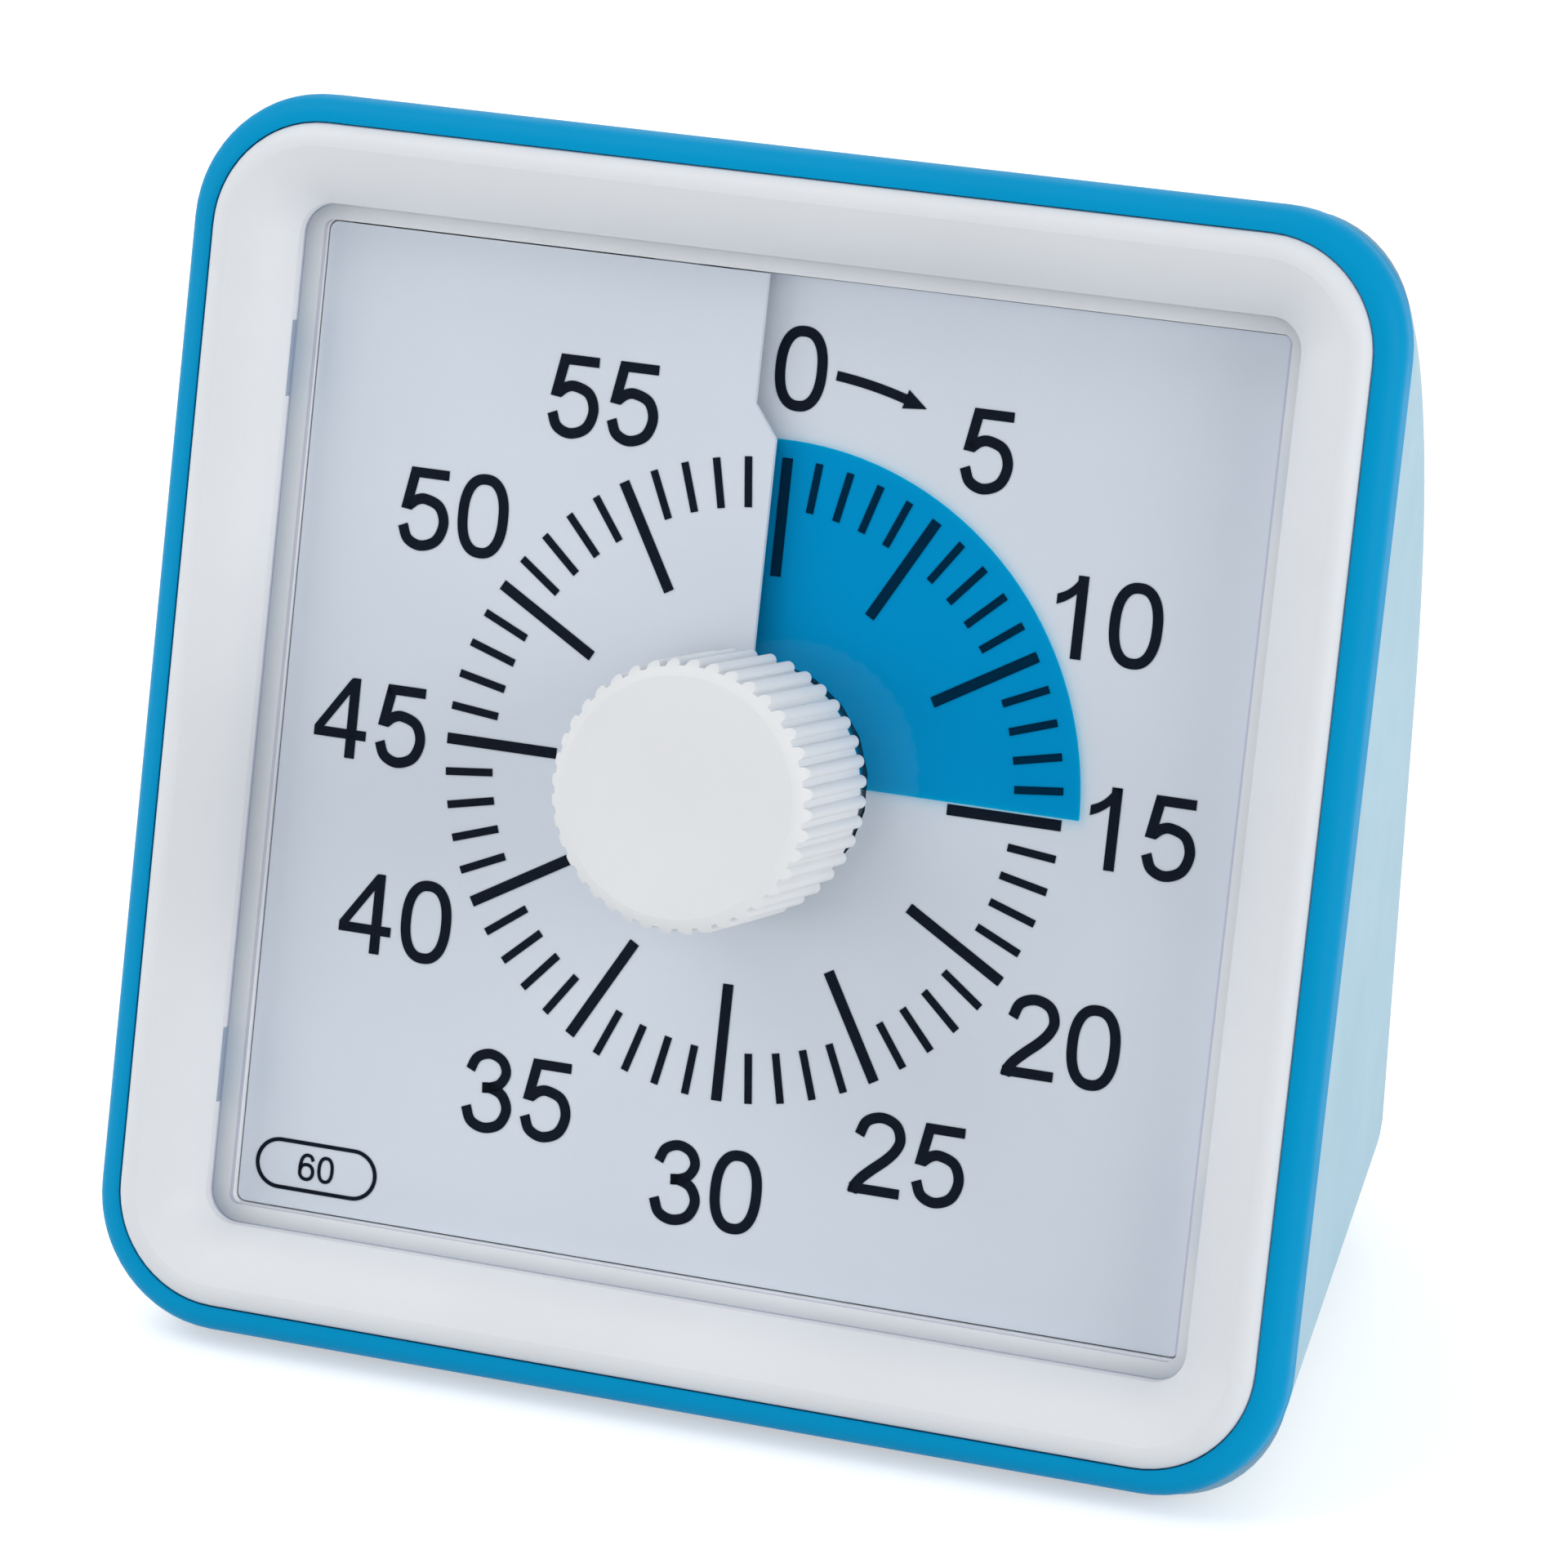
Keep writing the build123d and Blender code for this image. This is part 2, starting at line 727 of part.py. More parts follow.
def gear(at, height, thickness, points):
    """A toothed disc centred on an arbor, with its middle at a height."""
    with BuildPart() as toothed:
        with BuildSketch(dial(height - thickness / 2)):
            with Locations(at):
                Polygon(*points, align=None)
        extrude(amount=thickness)
    return toothed.part


def arbor(at, back, front):
    """An arbor with its two pivots, from the back wall to the front wall."""
    with BuildPart() as rod:
        with BuildSketch(dial(back + end_shake)):
            with Locations(at):
                Circle(arbor_radius)
        extrude(amount=front - back - 2 * end_shake)
        with BuildSketch(dial(back - pivot_length)):
            with Locations(at):
                Circle(pivot_radius)
        extrude(amount=front - back + 2 * pivot_length)
    return rod.part


with BuildPart() as centre_wheel:
    add(gear(centre, centre_wheel_height, wheel_thickness, gear_points(centre_teeth, wheel_addendum)))
    with BuildSketch(dial(centre_wheel_height - wheel_thickness)):
        Circle(shaft_radius + running_gap)
    extrude(amount=2 * wheel_thickness, mode=Mode.SUBTRACT)
    with BuildSketch(dial(centre_wheel_height - wheel_thickness)):
        with PolarLocations(spoke_hole_ring, spoke_holes):
            Circle(spoke_hole_radius)
    extrude(amount=2 * wheel_thickness, mode=Mode.SUBTRACT)
finish(centre_wheel, "centre_wheel")

train = (
    ("third_wheel", third, third_teeth, third_wheel_height, centre_wheel_height, third_turn),
    ("fourth_wheel", fourth, fourth_teeth, fourth_wheel_height, third_wheel_height, fourth_turn),
    (
        "intermediate_wheel",
        intermediate,
        intermediate_teeth,
        intermediate_wheel_height,
        fourth_wheel_height,
        intermediate_turn,
    ),
)
for wheel_name, at, teeth, wheel_height, driven_height, turn in train:
    with BuildPart() as wheel:
        add(gear(at, wheel_height, wheel_thickness, gear_points(teeth, wheel_addendum, turn)))
        add(gear(at, driven_height, pinion_length, gear_points(pinion_teeth, pinion_addendum, turn)))
        add(arbor(at, case_back_inner, case_front_inner))
    finish(wheel, wheel_name)

with BuildPart() as rotor:
    rotor_pinion = gear_points(pinion_teeth, pinion_addendum, rotor_turn)
    add(gear(rotor_axis, intermediate_wheel_height, pinion_length, rotor_pinion))
    add(arbor(rotor_axis, case_back_inner, case_front_inner))
    with BuildSketch(dial(magnet_back)):
        with Locations(rotor_axis):
            Circle(magnet_radius)
    extrude(amount=magnet_length)
finish(rotor, "rotor")

# ---------------------------------------------------------------- motor

stator_middle = magnet_back + magnet_length / 2
core_back = stator_middle + stator_thickness / 2
stator_left = rotor_axis[0] + stator_offset - stator_width / 2
stator_right = stator_left + stator_width
coil_y = case_top - case_wall - coil_radius - coil_clearance

with BuildPart() as stator:
    with BuildSketch(dial(stator_middle - stator_thickness / 2)):
        with BuildLine():
            Polyline(
                (stator_left, stator_bottom),
                (stator_right, stator_bottom),
                (stator_right, coil_y + core_width / 2),
                (stator_right - stator_leg, coil_y + core_width / 2),
                (stator_right - stator_leg, rotor_axis[1] + magnet_radius + stator_gap + stator_bridge),
                (stator_left + stator_leg, rotor_axis[1] + magnet_radius + stator_gap + stator_bridge),
                (stator_left + stator_leg, coil_y + core_width / 2),
                (stator_left, coil_y + core_width / 2),
                close=True,
            )
        make_face()
        with Locations(rotor_axis):
            Circle(magnet_radius + stator_gap, mode=Mode.SUBTRACT)
    extrude(amount=stator_thickness)
finish(stator, "stator")

coil_x = (stator_left + stator_right) / 2
core_height = core_back + stator_thickness / 2
COIL = Plane(
    DIAL.from_local_coords(Vector(coil_x, coil_y, core_height)),
    x_dir=DIAL.y_dir,
    z_dir=DIAL.x_dir,
)
bobbin_length = stator_right - stator_left - 2 * stator_leg - 2 * fit_gap

with BuildPart() as coil_bobbin:
    # The iron core lies across the stator's legs, and its flanges hold the winding
    with BuildSketch(COIL.offset(-(stator_right - stator_left) / 2)):
        Rectangle(core_width, stator_thickness)
    extrude(amount=stator_right - stator_left)
    for side in (-1, 1):
        with BuildSketch(COIL.offset(side * (bobbin_length - flange) / 2 - flange / 2)):
            Circle(coil_radius)
        extrude(amount=flange)
finish(coil_bobbin, "coil_bobbin")

with BuildPart() as coil_winding:
    winding_length = bobbin_length - 2 * flange
    with BuildSketch(COIL.offset(-winding_length / 2)):
        Circle(coil_radius - winding_inset)
        Rectangle(core_width, stator_thickness, mode=Mode.SUBTRACT)
    extrude(amount=winding_length)
finish(coil_winding, "coil_winding")

# ---------------------------------------------------------------- circuit board

with BuildPart() as circuit_board:
    with BuildSketch(dial(board_back)):
        with Locations((board_x, board_y)):
            Rectangle(board_width, board_height)
    extrude(amount=board_thickness)
    with BuildSketch(dial(board_back + board_thickness)):
        with Locations((board_x - chip_offset, board_y)):
            Circle(chip_radius)
    extrude(amount=chip_height)
    fillet(
        circuit_board.faces().sort_by(Axis(DIAL.origin, DIAL.z_dir))[-1].edges(),
        radius=chip_height / 2,
    )
finish(circuit_board, "circuit_board")

with BuildPart() as quartz_crystal:
    crystal_start = DIAL.from_local_coords(
        Vector(board_x, board_y, board_back + board_thickness + crystal_radius)
    )
    with BuildSketch(Plane(crystal_start, x_dir=DIAL.y_dir, z_dir=DIAL.x_dir)):
        Circle(crystal_radius)
    extrude(amount=crystal_length)
    fillet(quartz_crystal.faces().sort_by(Axis.X)[-1].edges(), radius=crystal_radius / 2)
finish(quartz_crystal, "quartz_crystal")

# ---------------------------------------------------------------- movement case

arbors = (third, fourth, intermediate, rotor_axis)


def case_block(back, front, inset=0.0):
    """A block with the outline of the movement's case, shrunk by inset."""
    with BuildPart() as block:
        with BuildSketch(dial(back)):
            with Locations((0, case_middle)):
                RectangleRounded(
                    case_width - 2 * inset, case_height - 2 * inset, case_corner - inset
                )
        extrude(amount=front - back)
    return block.part


def bearings(back, front):
    """Rods that leave blind holes for the arbors' pivots in a wall."""
    with BuildPart() as rods:
        with BuildSketch(dial(back)):
            with Locations(*arbors):
                Circle(pivot_radius + running_gap)
        extrude(amount=front - back)
    return rods.part


with BuildPart() as movement_front:
    add(case_block(case_split, case_front))
    # Screw lugs
    with BuildSketch(dial(case_front - lug_thickness)):
        with Locations(*lug_points):
            Circle(lug_radius)
            Rectangle(2 * lug_reach, 2 * lug_radius)
    extrude(amount=lug_thickness)
    add(case_block(case_split, case_front_inner, case_wall), mode=Mode.SUBTRACT)
    # Neck that carries the shaft
    with BuildSketch(dial(case_front)):
        Circle(neck_radius)
    extrude(amount=neck_top - case_front)
    with BuildSketch(dial(case_front_inner)):
        Circle(shaft_radius + running_gap)
    extrude(amount=neck_top - case_front_inner, mode=Mode.SUBTRACT)
    with BuildSketch(dial(case_front - lug_thickness)):
        with Locations(*lug_points):
            Circle(movement_screw_radius + fit_gap)
    extrude(amount=lug_thickness, mode=Mode.SUBTRACT)
    hole_end = case_front_inner + pivot_length + end_shake
    add(bearings(case_front_inner, hole_end), mode=Mode.SUBTRACT)
finish(movement_front, "movement_front")

with BuildPart() as movement_back:
    add(case_block(case_back, case_split))
    add(case_block(case_back_inner, case_split, case_wall), mode=Mode.SUBTRACT)
    # Posts for the stator and the circuit board
    with BuildSketch(dial(case_back_inner)):
        legs = (stator_left + stator_leg / 2, stator_right - stator_leg / 2)
        with Locations(*[(leg, stator_post_y) for leg in legs]):
            Circle(post_radius)
    extrude(amount=stator_middle - stator_thickness / 2 - case_back_inner)
    with BuildSketch(dial(case_back_inner)):
        post_reach = board_width / 2 - board_post_inset
        with Locations((board_x - post_reach, board_y), (board_x + post_reach, board_y)):
            Circle(post_radius)
    extrude(amount=board_back - case_back_inner)
    hole_end = case_back_inner - pivot_length - end_shake
    add(bearings(hole_end, case_back_inner), mode=Mode.SUBTRACT)
finish(movement_back, "movement_back")

with BuildPart() as movement_screws:
    with BuildSketch(dial(case_front - lug_thickness)):
        with Locations(*lug_points):
            Circle(movement_screw_radius)
    extrude(amount=lug_thickness + plate - fit_gap)
    with BuildSketch(dial(case_front - lug_thickness - movement_screw_head)):
        with Locations(*lug_points):
            Circle(2 * movement_screw_radius)
    extrude(amount=movement_screw_head)
finish(movement_screws, "movement_screws")

# ---------------------------------------------------------------- rear housing

bay_width = cell_length + cell_nub_length + spring_room + 2 * contact_thickness
bay_height = 2 * (cell_radius + cell_gap)
door_width = bay_width + 2 * door_overlap
door_height = bay_height + 2 * door_overlap
bay_middle = (0, -cell_drop)
ridges_middle = door_width / 2 - ridge_inset - (ridges - 1) * ridge_pitch / 2
web_back = tower_front - fit_gap - tower_web
slot_width = switch_width + switch_travel + 2 * door_gap
slot_middle = (switch_x + switch_travel / 2, -sound_drop)
pad_width = 2 * (housing_half_width - housing_corner - pad_inset)
pad_depth = base_depth - 2 * (housing_corner + pad_margin)
buzzer_middle = (buzzer_x, -sound_drop)

CELL = BACK.offset(-door_thickness - cell_gap - cell_radius)


def across(x):
    """The plane across the cell's axis at a distance from the bay's middle."""
    origin = CELL.from_local_coords(Vector(x, -cell_drop, 0))
    return Plane(origin, x_dir=CELL.y_dir, z_dir=CELL.x_dir)


def trough(radius, length):
    """A round-bottomed trough along the cell, open to the back of the housing."""
    depth = cell_radius + cell_gap + door_thickness
    with BuildPart() as block:
        with BuildSketch(across(-length / 2)):
            Circle(radius)
            with Locations((0, depth / 2)):
                Rectangle(2 * radius, depth)
        extrude(amount=length)
    return block.part


with BuildPart() as fittings:
    # Walls of the battery bay, screw towers and the buzzer's ring, trimmed to the housing
    add(trough(bay_height / 2 + bay_wall, bay_width + 2 * bay_wall))
    with BuildSketch(dial(tower_front - fit_gap)):
        with Locations(*screw_points):
            Circle(tower_radius)
    extrude(amount=-rear_depth)
    with BuildSketch(BACK):
        with Locations(buzzer_middle):
            Circle(buzzer_radius + fit_gap + buzzer_ring)
    extrude(amount=-housing_wall - buzzer_height)
    add(rear_form(housing_wall / 2), mode=Mode.INTERSECT)

with BuildPart() as rear_housing:
    add(rear_form())
    add(rear_form(housing_wall), mode=Mode.SUBTRACT)
    add(fittings.part)
    add(trough(bay_height / 2, bay_width), mode=Mode.SUBTRACT)
    with BuildSketch(BACK):
        with Locations(bay_middle):
            Rectangle(door_width + 2 * door_gap, door_height + 2 * door_gap)
    extrude(amount=-door_thickness, mode=Mode.SUBTRACT)
    # Screw holes with deep counterbores
    with BuildSketch(dial(tower_front)):
        with Locations(*screw_points):
            Circle(screw_radius + fit_gap)
    extrude(amount=-rear_depth, mode=Mode.SUBTRACT)
    with BuildSketch(dial(web_back)):
        with Locations(*screw_points):
            Circle(screw_head_radius + fit_gap)
    extrude(amount=-rear_depth, mode=Mode.SUBTRACT)
    # Seat and sound holes of the buzzer
    with BuildSketch(BACK.offset(-housing_wall)):
        with Locations(buzzer_middle):
            Circle(buzzer_radius + fit_gap)
    extrude(amount=-buzzer_height, mode=Mode.SUBTRACT)
    with BuildSketch(BACK):
        with Locations(buzzer_middle):
            Circle(sound_hole_radius)
            with PolarLocations(buzzer_radius / 2, sound_holes):
                Circle(sound_hole_radius)
    extrude(amount=-housing_wall, mode=Mode.SUBTRACT)
    # Slot of the sound switch
    with BuildSketch(BACK):
        with Locations(slot_middle):
            Rectangle(slot_width, switch_height + 2 * door_gap)
    extrude(amount=-housing_wall, mode=Mode.SUBTRACT)
    # Recess of the pad
    with BuildSketch(Plane.XY.offset(pad_proud)):
        Rectangle(pad_width + 2 * fit_gap, pad_depth + 2 * fit_gap)
    extrude(amount=pad_sunk, mode=Mode.SUBTRACT)
finish(rear_housing, "rear_housing")

with BuildPart() as base_pad:
    with BuildSketch():
        Rectangle(pad_width, pad_depth)
    extrude(amount=pad_proud + pad_sunk)
finish(base_pad, "base_pad")

with BuildPart() as battery_door:
    with BuildSketch(BACK):
        with Locations(bay_middle):
            Rectangle(door_width, door_height)
    extrude(amount=-door_thickness)
    add(rear_form(), mode=Mode.INTERSECT)
    # Ridges for the thumb
    with BuildSketch(BACK):
        with Locations((ridges_middle, -cell_drop)):
            with GridLocations(ridge_pitch, 0, ridges, 1):
                Rectangle(ridge_width, ridge_length)
    extrude(amount=ridge_height)
finish(battery_door, "battery_door")

# ---------------------------------------------------------------- battery and contacts

cell_start = bay_width / 2 - contact_thickness
cell_tail = cell_start - cell_nub_length - cell_length

with BuildPart() as aa_cell:
    with BuildSketch(across(cell_tail)):
        Circle(cell_radius)
    extrude(amount=cell_length)
    fillet(aa_cell.edges(), radius=cell_edge_round)
    with BuildSketch(across(cell_start - cell_nub_length - cell_edge_round)):
        Circle(cell_nub_radius)
    extrude(amount=cell_nub_length + cell_edge_round)
finish(aa_cell, "aa_cell")

with BuildPart() as contact_plate:
    with BuildSketch(across(cell_start)):
        RectangleRounded(contact_width, contact_width, contact_corner)
    extrude(amount=contact_thickness)
finish(contact_plate, "contact_plate")

with BuildPart() as contact_spring:
    with BuildSketch(across(-cell_start)):
        RectangleRounded(contact_width, contact_width, contact_corner)
    extrude(amount=-contact_thickness)
    rise = spring_room - 2 * spring_wire + spring_bite
    with BuildLine():
        turns = Helix(
            pitch=rise / spring_turns,
            height=rise,
            radius=spring_radius,
            center=across(-cell_start + spring_wire - spring_bite).origin,
            direction=CELL.x_dir,
        )
    with BuildSketch(Plane(turns @ 0, z_dir=turns % 0)):
        Circle(spring_wire)
    sweep(path=turns, is_frenet=True)
finish(contact_spring, "contact_spring")

# ---------------------------------------------------------------- buzzer and sound switch

with BuildPart() as buzzer:
    with BuildSketch(BACK.offset(-housing_wall)):
        with Locations(buzzer_middle):
            Circle(buzzer_radius)
            Circle(sound_hole_radius, mode=Mode.SUBTRACT)
    extrude(amount=-buzzer_height)
finish(buzzer, "buzzer")

plate_top = -housing_wall - door_gap / 2

with BuildPart() as sound_switch:
    with BuildSketch(BACK.offset(plate_top)):
        with Locations((switch_x, -sound_drop)):
            Rectangle(slot_width + switch_width, switch_height + 2 * switch_flange)
    extrude(amount=-switch_plate)
    with BuildSketch(BACK.offset(plate_top)):
        with Locations((switch_x, -sound_drop)):
            Rectangle(switch_width, switch_height)
    extrude(amount=switch_proud - plate_top)
    grip = sound_switch.faces().sort_by(Axis(BACK.origin, BACK.z_dir))[-1]
    fillet(grip.edges(), radius=switch_round)
finish(sound_switch, "sound_switch")

with BuildPart() as switch_body:
    with BuildSketch(BACK.offset(plate_top - switch_plate - door_gap / 2)):
        with Locations(slot_middle):
            Rectangle(slot_width + 2 * switch_width, switch_height + 2 * switch_flange)
    extrude(amount=-switch_depth)
finish(switch_body, "switch_body")

with BuildPart() as housing_screws:
    with BuildSketch(dial(web_back)):
        with Locations(*screw_points):
            Circle(screw_radius)
    extrude(amount=case_front - fit_gap - web_back)
    with BuildSketch(dial(web_back)):
        with Locations(*screw_points):
            Circle(screw_head_radius)
    extrude(amount=-screw_head)
finish(housing_screws, "housing_screws")
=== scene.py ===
# %% [markdown]
# # A desk countdown timer
#
# The timer is a square dial on a wedge-shaped housing. A ribbed knob turns a blue film
# through a slit in the dial card, and the blue sector shows the minutes that are left.
# The housing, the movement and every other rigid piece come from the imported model. This
# file gives them their finishes, adds the printing on the card, and sets up a plain
# studio with soft light and a camera.

import json
import math

import bpy
import numpy as np
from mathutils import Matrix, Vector


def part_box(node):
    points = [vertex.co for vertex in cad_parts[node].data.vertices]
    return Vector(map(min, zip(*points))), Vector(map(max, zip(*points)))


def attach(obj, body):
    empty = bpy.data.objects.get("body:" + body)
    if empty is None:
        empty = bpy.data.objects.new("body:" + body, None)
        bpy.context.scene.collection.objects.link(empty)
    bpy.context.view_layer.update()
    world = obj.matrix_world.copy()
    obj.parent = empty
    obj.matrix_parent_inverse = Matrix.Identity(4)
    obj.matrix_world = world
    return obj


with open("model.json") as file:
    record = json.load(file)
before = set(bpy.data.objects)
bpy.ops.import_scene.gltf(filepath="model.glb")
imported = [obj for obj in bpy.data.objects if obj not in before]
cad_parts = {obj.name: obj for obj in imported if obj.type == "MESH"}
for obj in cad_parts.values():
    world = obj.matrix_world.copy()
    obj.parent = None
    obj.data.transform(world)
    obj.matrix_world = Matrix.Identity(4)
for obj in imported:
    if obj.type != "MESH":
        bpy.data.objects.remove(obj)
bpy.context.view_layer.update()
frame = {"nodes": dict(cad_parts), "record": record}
nodes = frame["nodes"]

# %% [markdown]
# ## The dial's own axes
#
# The dial leans back, so nothing on it lines up with the world's axes. Every number
# below would be hard to read if it were written in world coordinates. Instead the
# shaft's joint gives a point on the dial's axis and the direction that the dial faces,
# and from then on a place is written as millimetres across, up and out of the dial.

# %% Dial axes
shaft = next(joint for joint in frame["record"]["behaviour"]["joints"] if joint["name"] == "knob_turn")
CENTRE = np.array(shaft["pos_m"])
OUT = np.array(shaft["axis"]) / np.linalg.norm(shaft["axis"])
ACROSS = np.array([1.0, 0.0, 0.0])
UP = np.cross(OUT, ACROSS)


def on_dial(x, y, z):
    """Points in metres: the dial's centre plus x across, y up and z out, all in mm."""
    x, y, z = np.broadcast_arrays(*(np.asarray(v, float) for v in (x, y, z)))
    return CENTRE + (x[..., None] * ACROSS + y[..., None] * UP + z[..., None] * OUT) / 1000


lean = math.degrees(math.asin(OUT[2]))
print("the dial faces", OUT.round(4), "and leans back", round(lean, 2), "degrees")

# %% [markdown]
# ## The camera
#
# The camera looks at the middle of the dial from the right and from above. A long lens
# stands well back, which keeps the square's sides nearly parallel. A constraint could
# aim it, but a rotation worked out from the line of sight leaves nothing behind for
# another file to lose. The lamps are aimed in the same way later on.

# %% Camera
LENS = 158.76                            # mm
SENSOR = 36.0                            # mm, its width
CAMERA_PLACE = (138.70, 50.35, 410.5)    # mm across, up and out of the dial
CAMERA_AIM = (2.19, 0.11, 0.0)
NEAREST, FARTHEST = 0.01, 50.0           # metres, the depth that the camera takes in


def add_object(name, data):
    """An object for a mesh, a camera or a lamp, linked to the scene."""
    thing = bpy.data.objects.new(name, data)
    bpy.context.collection.objects.link(thing)
    return thing


def aim(thing, place, target):
    """Puts a camera or a lamp at a place and turns its -Z axis towards a target."""
    thing.location = place
    sight = Vector(np.asarray(target) - np.array(thing.location))
    thing.rotation_euler = sight.to_track_quat("-Z", "Y").to_euler()
    return sight.length


camera_data = bpy.data.cameras.new("camera")
camera_data.lens = LENS
camera_data.sensor_width = SENSOR
camera_data.clip_start = NEAREST
camera_data.clip_end = FARTHEST
camera = add_object("camera", camera_data)
distance = aim(camera, on_dial(*CAMERA_PLACE), on_dial(*CAMERA_AIM))
bpy.context.scene.camera = camera
bpy.context.scene.view_settings.view_transform = "Standard"
print("camera is", round(distance * 1000), "mm from the dial")

# %% [markdown]
# ## Surfaces from grids
#
# Most new pieces are grids: a function gives a point for each pair of parameters, numpy
# works out the whole array at once, and neighbouring points become the corners of
# four-sided faces. Blender's add-mesh operators would be quicker to type, but a grid
# says exactly where every point lies and can follow any curve.


# %% Grid helpers
def make_object(name, points, faces):
    """A mesh object from an array of points in metres and an array of faces."""
    mesh = bpy.data.meshes.new(name)
    mesh.from_pydata(points.reshape(-1, 3).tolist(), [], faces.tolist())
    return add_object(name, mesh)


def grid_faces(rows, columns, closed=False):
    """Corners (i, j), (i, j+1), (i+1, j+1), (i+1, j) of every cell, counted row by row. In
    a closed grid the first row also follows the last one."""
    i = np.arange(rows if closed else rows - 1)[:, None]
    j = np.arange(columns - 1)[None, :]
    here, after = i * columns + j, (i + 1) % rows * columns + j
    return np.stack([here, here + 1, after + 1, after], -1).reshape(-1, 4)


def join_grids(parts):
    """One array of points and one of faces from several (points, faces) pairs."""
    points, faces, count = [], [], 0
    for part_points, part_faces in parts:
        part_points = part_points.reshape(-1, part_points.shape[-1])
        points.append(part_points)
        faces.append(part_faces + count)
        count += len(part_points)
    return np.concatenate(points), np.concatenate(faces)


print("a 3 by 4 grid has", len(grid_faces(3, 4)), "faces")

# %% [markdown]
# ## Finishes from nodes
#
# A finish is a small tree of shader nodes. Each tree could be put together by hand in
# the shader editor, but in a script the same few moves come back again and again: a
# noise, a blend of two colours, a bump, a sum. One class holds them as short methods,
# and the same class serves the materials and the world.


# %% Colours
def linear(red, green, blue):
    """A colour from screen values of 0 to 255, with the screen's curve undone: a dark value
    over 12.92, and any other plus 0.055, over 1.055, to the power 2.4."""
    values = np.array([red, green, blue]) / 255
    undone = np.where(values <= 0.04045, values / 12.92, ((values + 0.055) / 1.055) ** 2.4)
    return (*undone.tolist(), 1.0)


def shade(colour, factor):
    """The same colour, lighter or darker by a factor."""
    return (*[min(1.0, channel * factor) for channel in colour[:3]], 1.0)


print("half grey on the screen is", round(linear(128, 128, 128)[0], 3), "in the render")

# %% Node trees
NOISE_LOW, NOISE_HIGH = 0.3, 0.7         # noise mostly stays between these


class Nodes:
    """Short forms for adding nodes to a material or a world and joining their sockets."""

    def __init__(self, owner):
        owner.use_nodes = True
        self.owner = owner
        self.tree = owner.node_tree
        self.tree.nodes.clear()

    def add(self, kind, **settings):
        """A new node with its settings."""
        node = self.tree.nodes.new(kind)
        for key, value in settings.items():
            setattr(node, key, value)
        return node

    def feed(self, target, source):
        """Joins a socket to the target socket, or gives the target a plain value."""
        if isinstance(source, bpy.types.NodeSocket):
            self.tree.links.new(source, target)
        else:
            target.default_value = source

    def calculate(self, operation, *values):
        """The result of a Math node, from sockets or plain numbers."""
        node = self.add("ShaderNodeMath", operation=operation)
        for target, value in zip(node.inputs, values):
            self.feed(target, value)
        return node.outputs[0]

    def place(self):
        """Where a point of the surface lies in its object, in metres."""
        return self.add("ShaderNodeTexCoord").outputs["Object"]

    def noise(self, scale, detail=3.0):
        """Noise on the object's coordinates, where scale is cells in a metre."""
        noise = self.add("ShaderNodeTexNoise")
        noise.inputs["Scale"].default_value = scale
        noise.inputs["Detail"].default_value = detail
        self.feed(noise.inputs["Vector"], self.place())
        return noise.outputs["Fac"]

    def spread(self, factor, low, high):
        """Carries noise from the range that it mostly keeps to, to low to high."""
        span = self.add("ShaderNodeMapRange")
        span.inputs["From Min"].default_value = NOISE_LOW
        span.inputs["From Max"].default_value = NOISE_HIGH
        span.inputs["To Min"].default_value = low
        span.inputs["To Max"].default_value = high
        self.feed(span.inputs["Value"], factor)
        return span.outputs["Result"]

    def blend(self, factor, first, second):
        """A colour between two, by a factor."""
        mix = self.add("ShaderNodeMix", data_type="RGBA")
        self.feed(mix.inputs["Factor"], factor)
        self.feed(mix.inputs["A"], first)
        self.feed(mix.inputs["B"], second)
        return mix.outputs["Result"]

    def bump(self, height, distance):
        """A bump whose full height is distance, in metres."""
        bump = self.add("ShaderNodeBump")
        bump.inputs["Distance"].default_value = distance
        self.feed(bump.inputs["Height"], height)
        return bump.outputs["Normal"]

    def mix(self, share, first, second):
        """A shader between two, where share is how much of it is the second."""
        mix = self.add("ShaderNodeMixShader")
        for target, source in zip(mix.inputs, (share, first, second)):
            self.feed(target, source)
        return mix.outputs[0]

    def output(self, shader):
        """Ends the tree with a shader, and gives back the material or the world."""
        kind = "World" if isinstance(self.owner, bpy.types.World) else "Material"
        self.feed(self.add(f"ShaderNodeOutput{kind}").inputs["Surface"], shader)
        return self.owner


def new_material(name):
    """The empty node tree of a new material."""
    return Nodes(bpy.data.materials.new(name))


print("helpers for materials are ready")

# %% [markdown]
# ## Moulded plastic
#
# Injection-moulded plastic is never one flat colour. Its skin has a very fine grain from
# the mould, its gloss changes slowly from place to place, and its colour isn't quite
# even. Noise textures on the object's own coordinates give all three, and because a
# node's place is in its mesh, the grain stays the same size on every piece.

# %% Plastic material
CLOUD_SCALE = 60.0     # cells in a metre, for the slow change of colour
GLOSS_SCALE = 220.0    # for the change of gloss
GRAIN_SCALE = 7000.0   # for the grain of the mould
GRAIN_DETAIL = 2.0
GLOSS_CHANGE = 0.04    # of the roughness, up and down


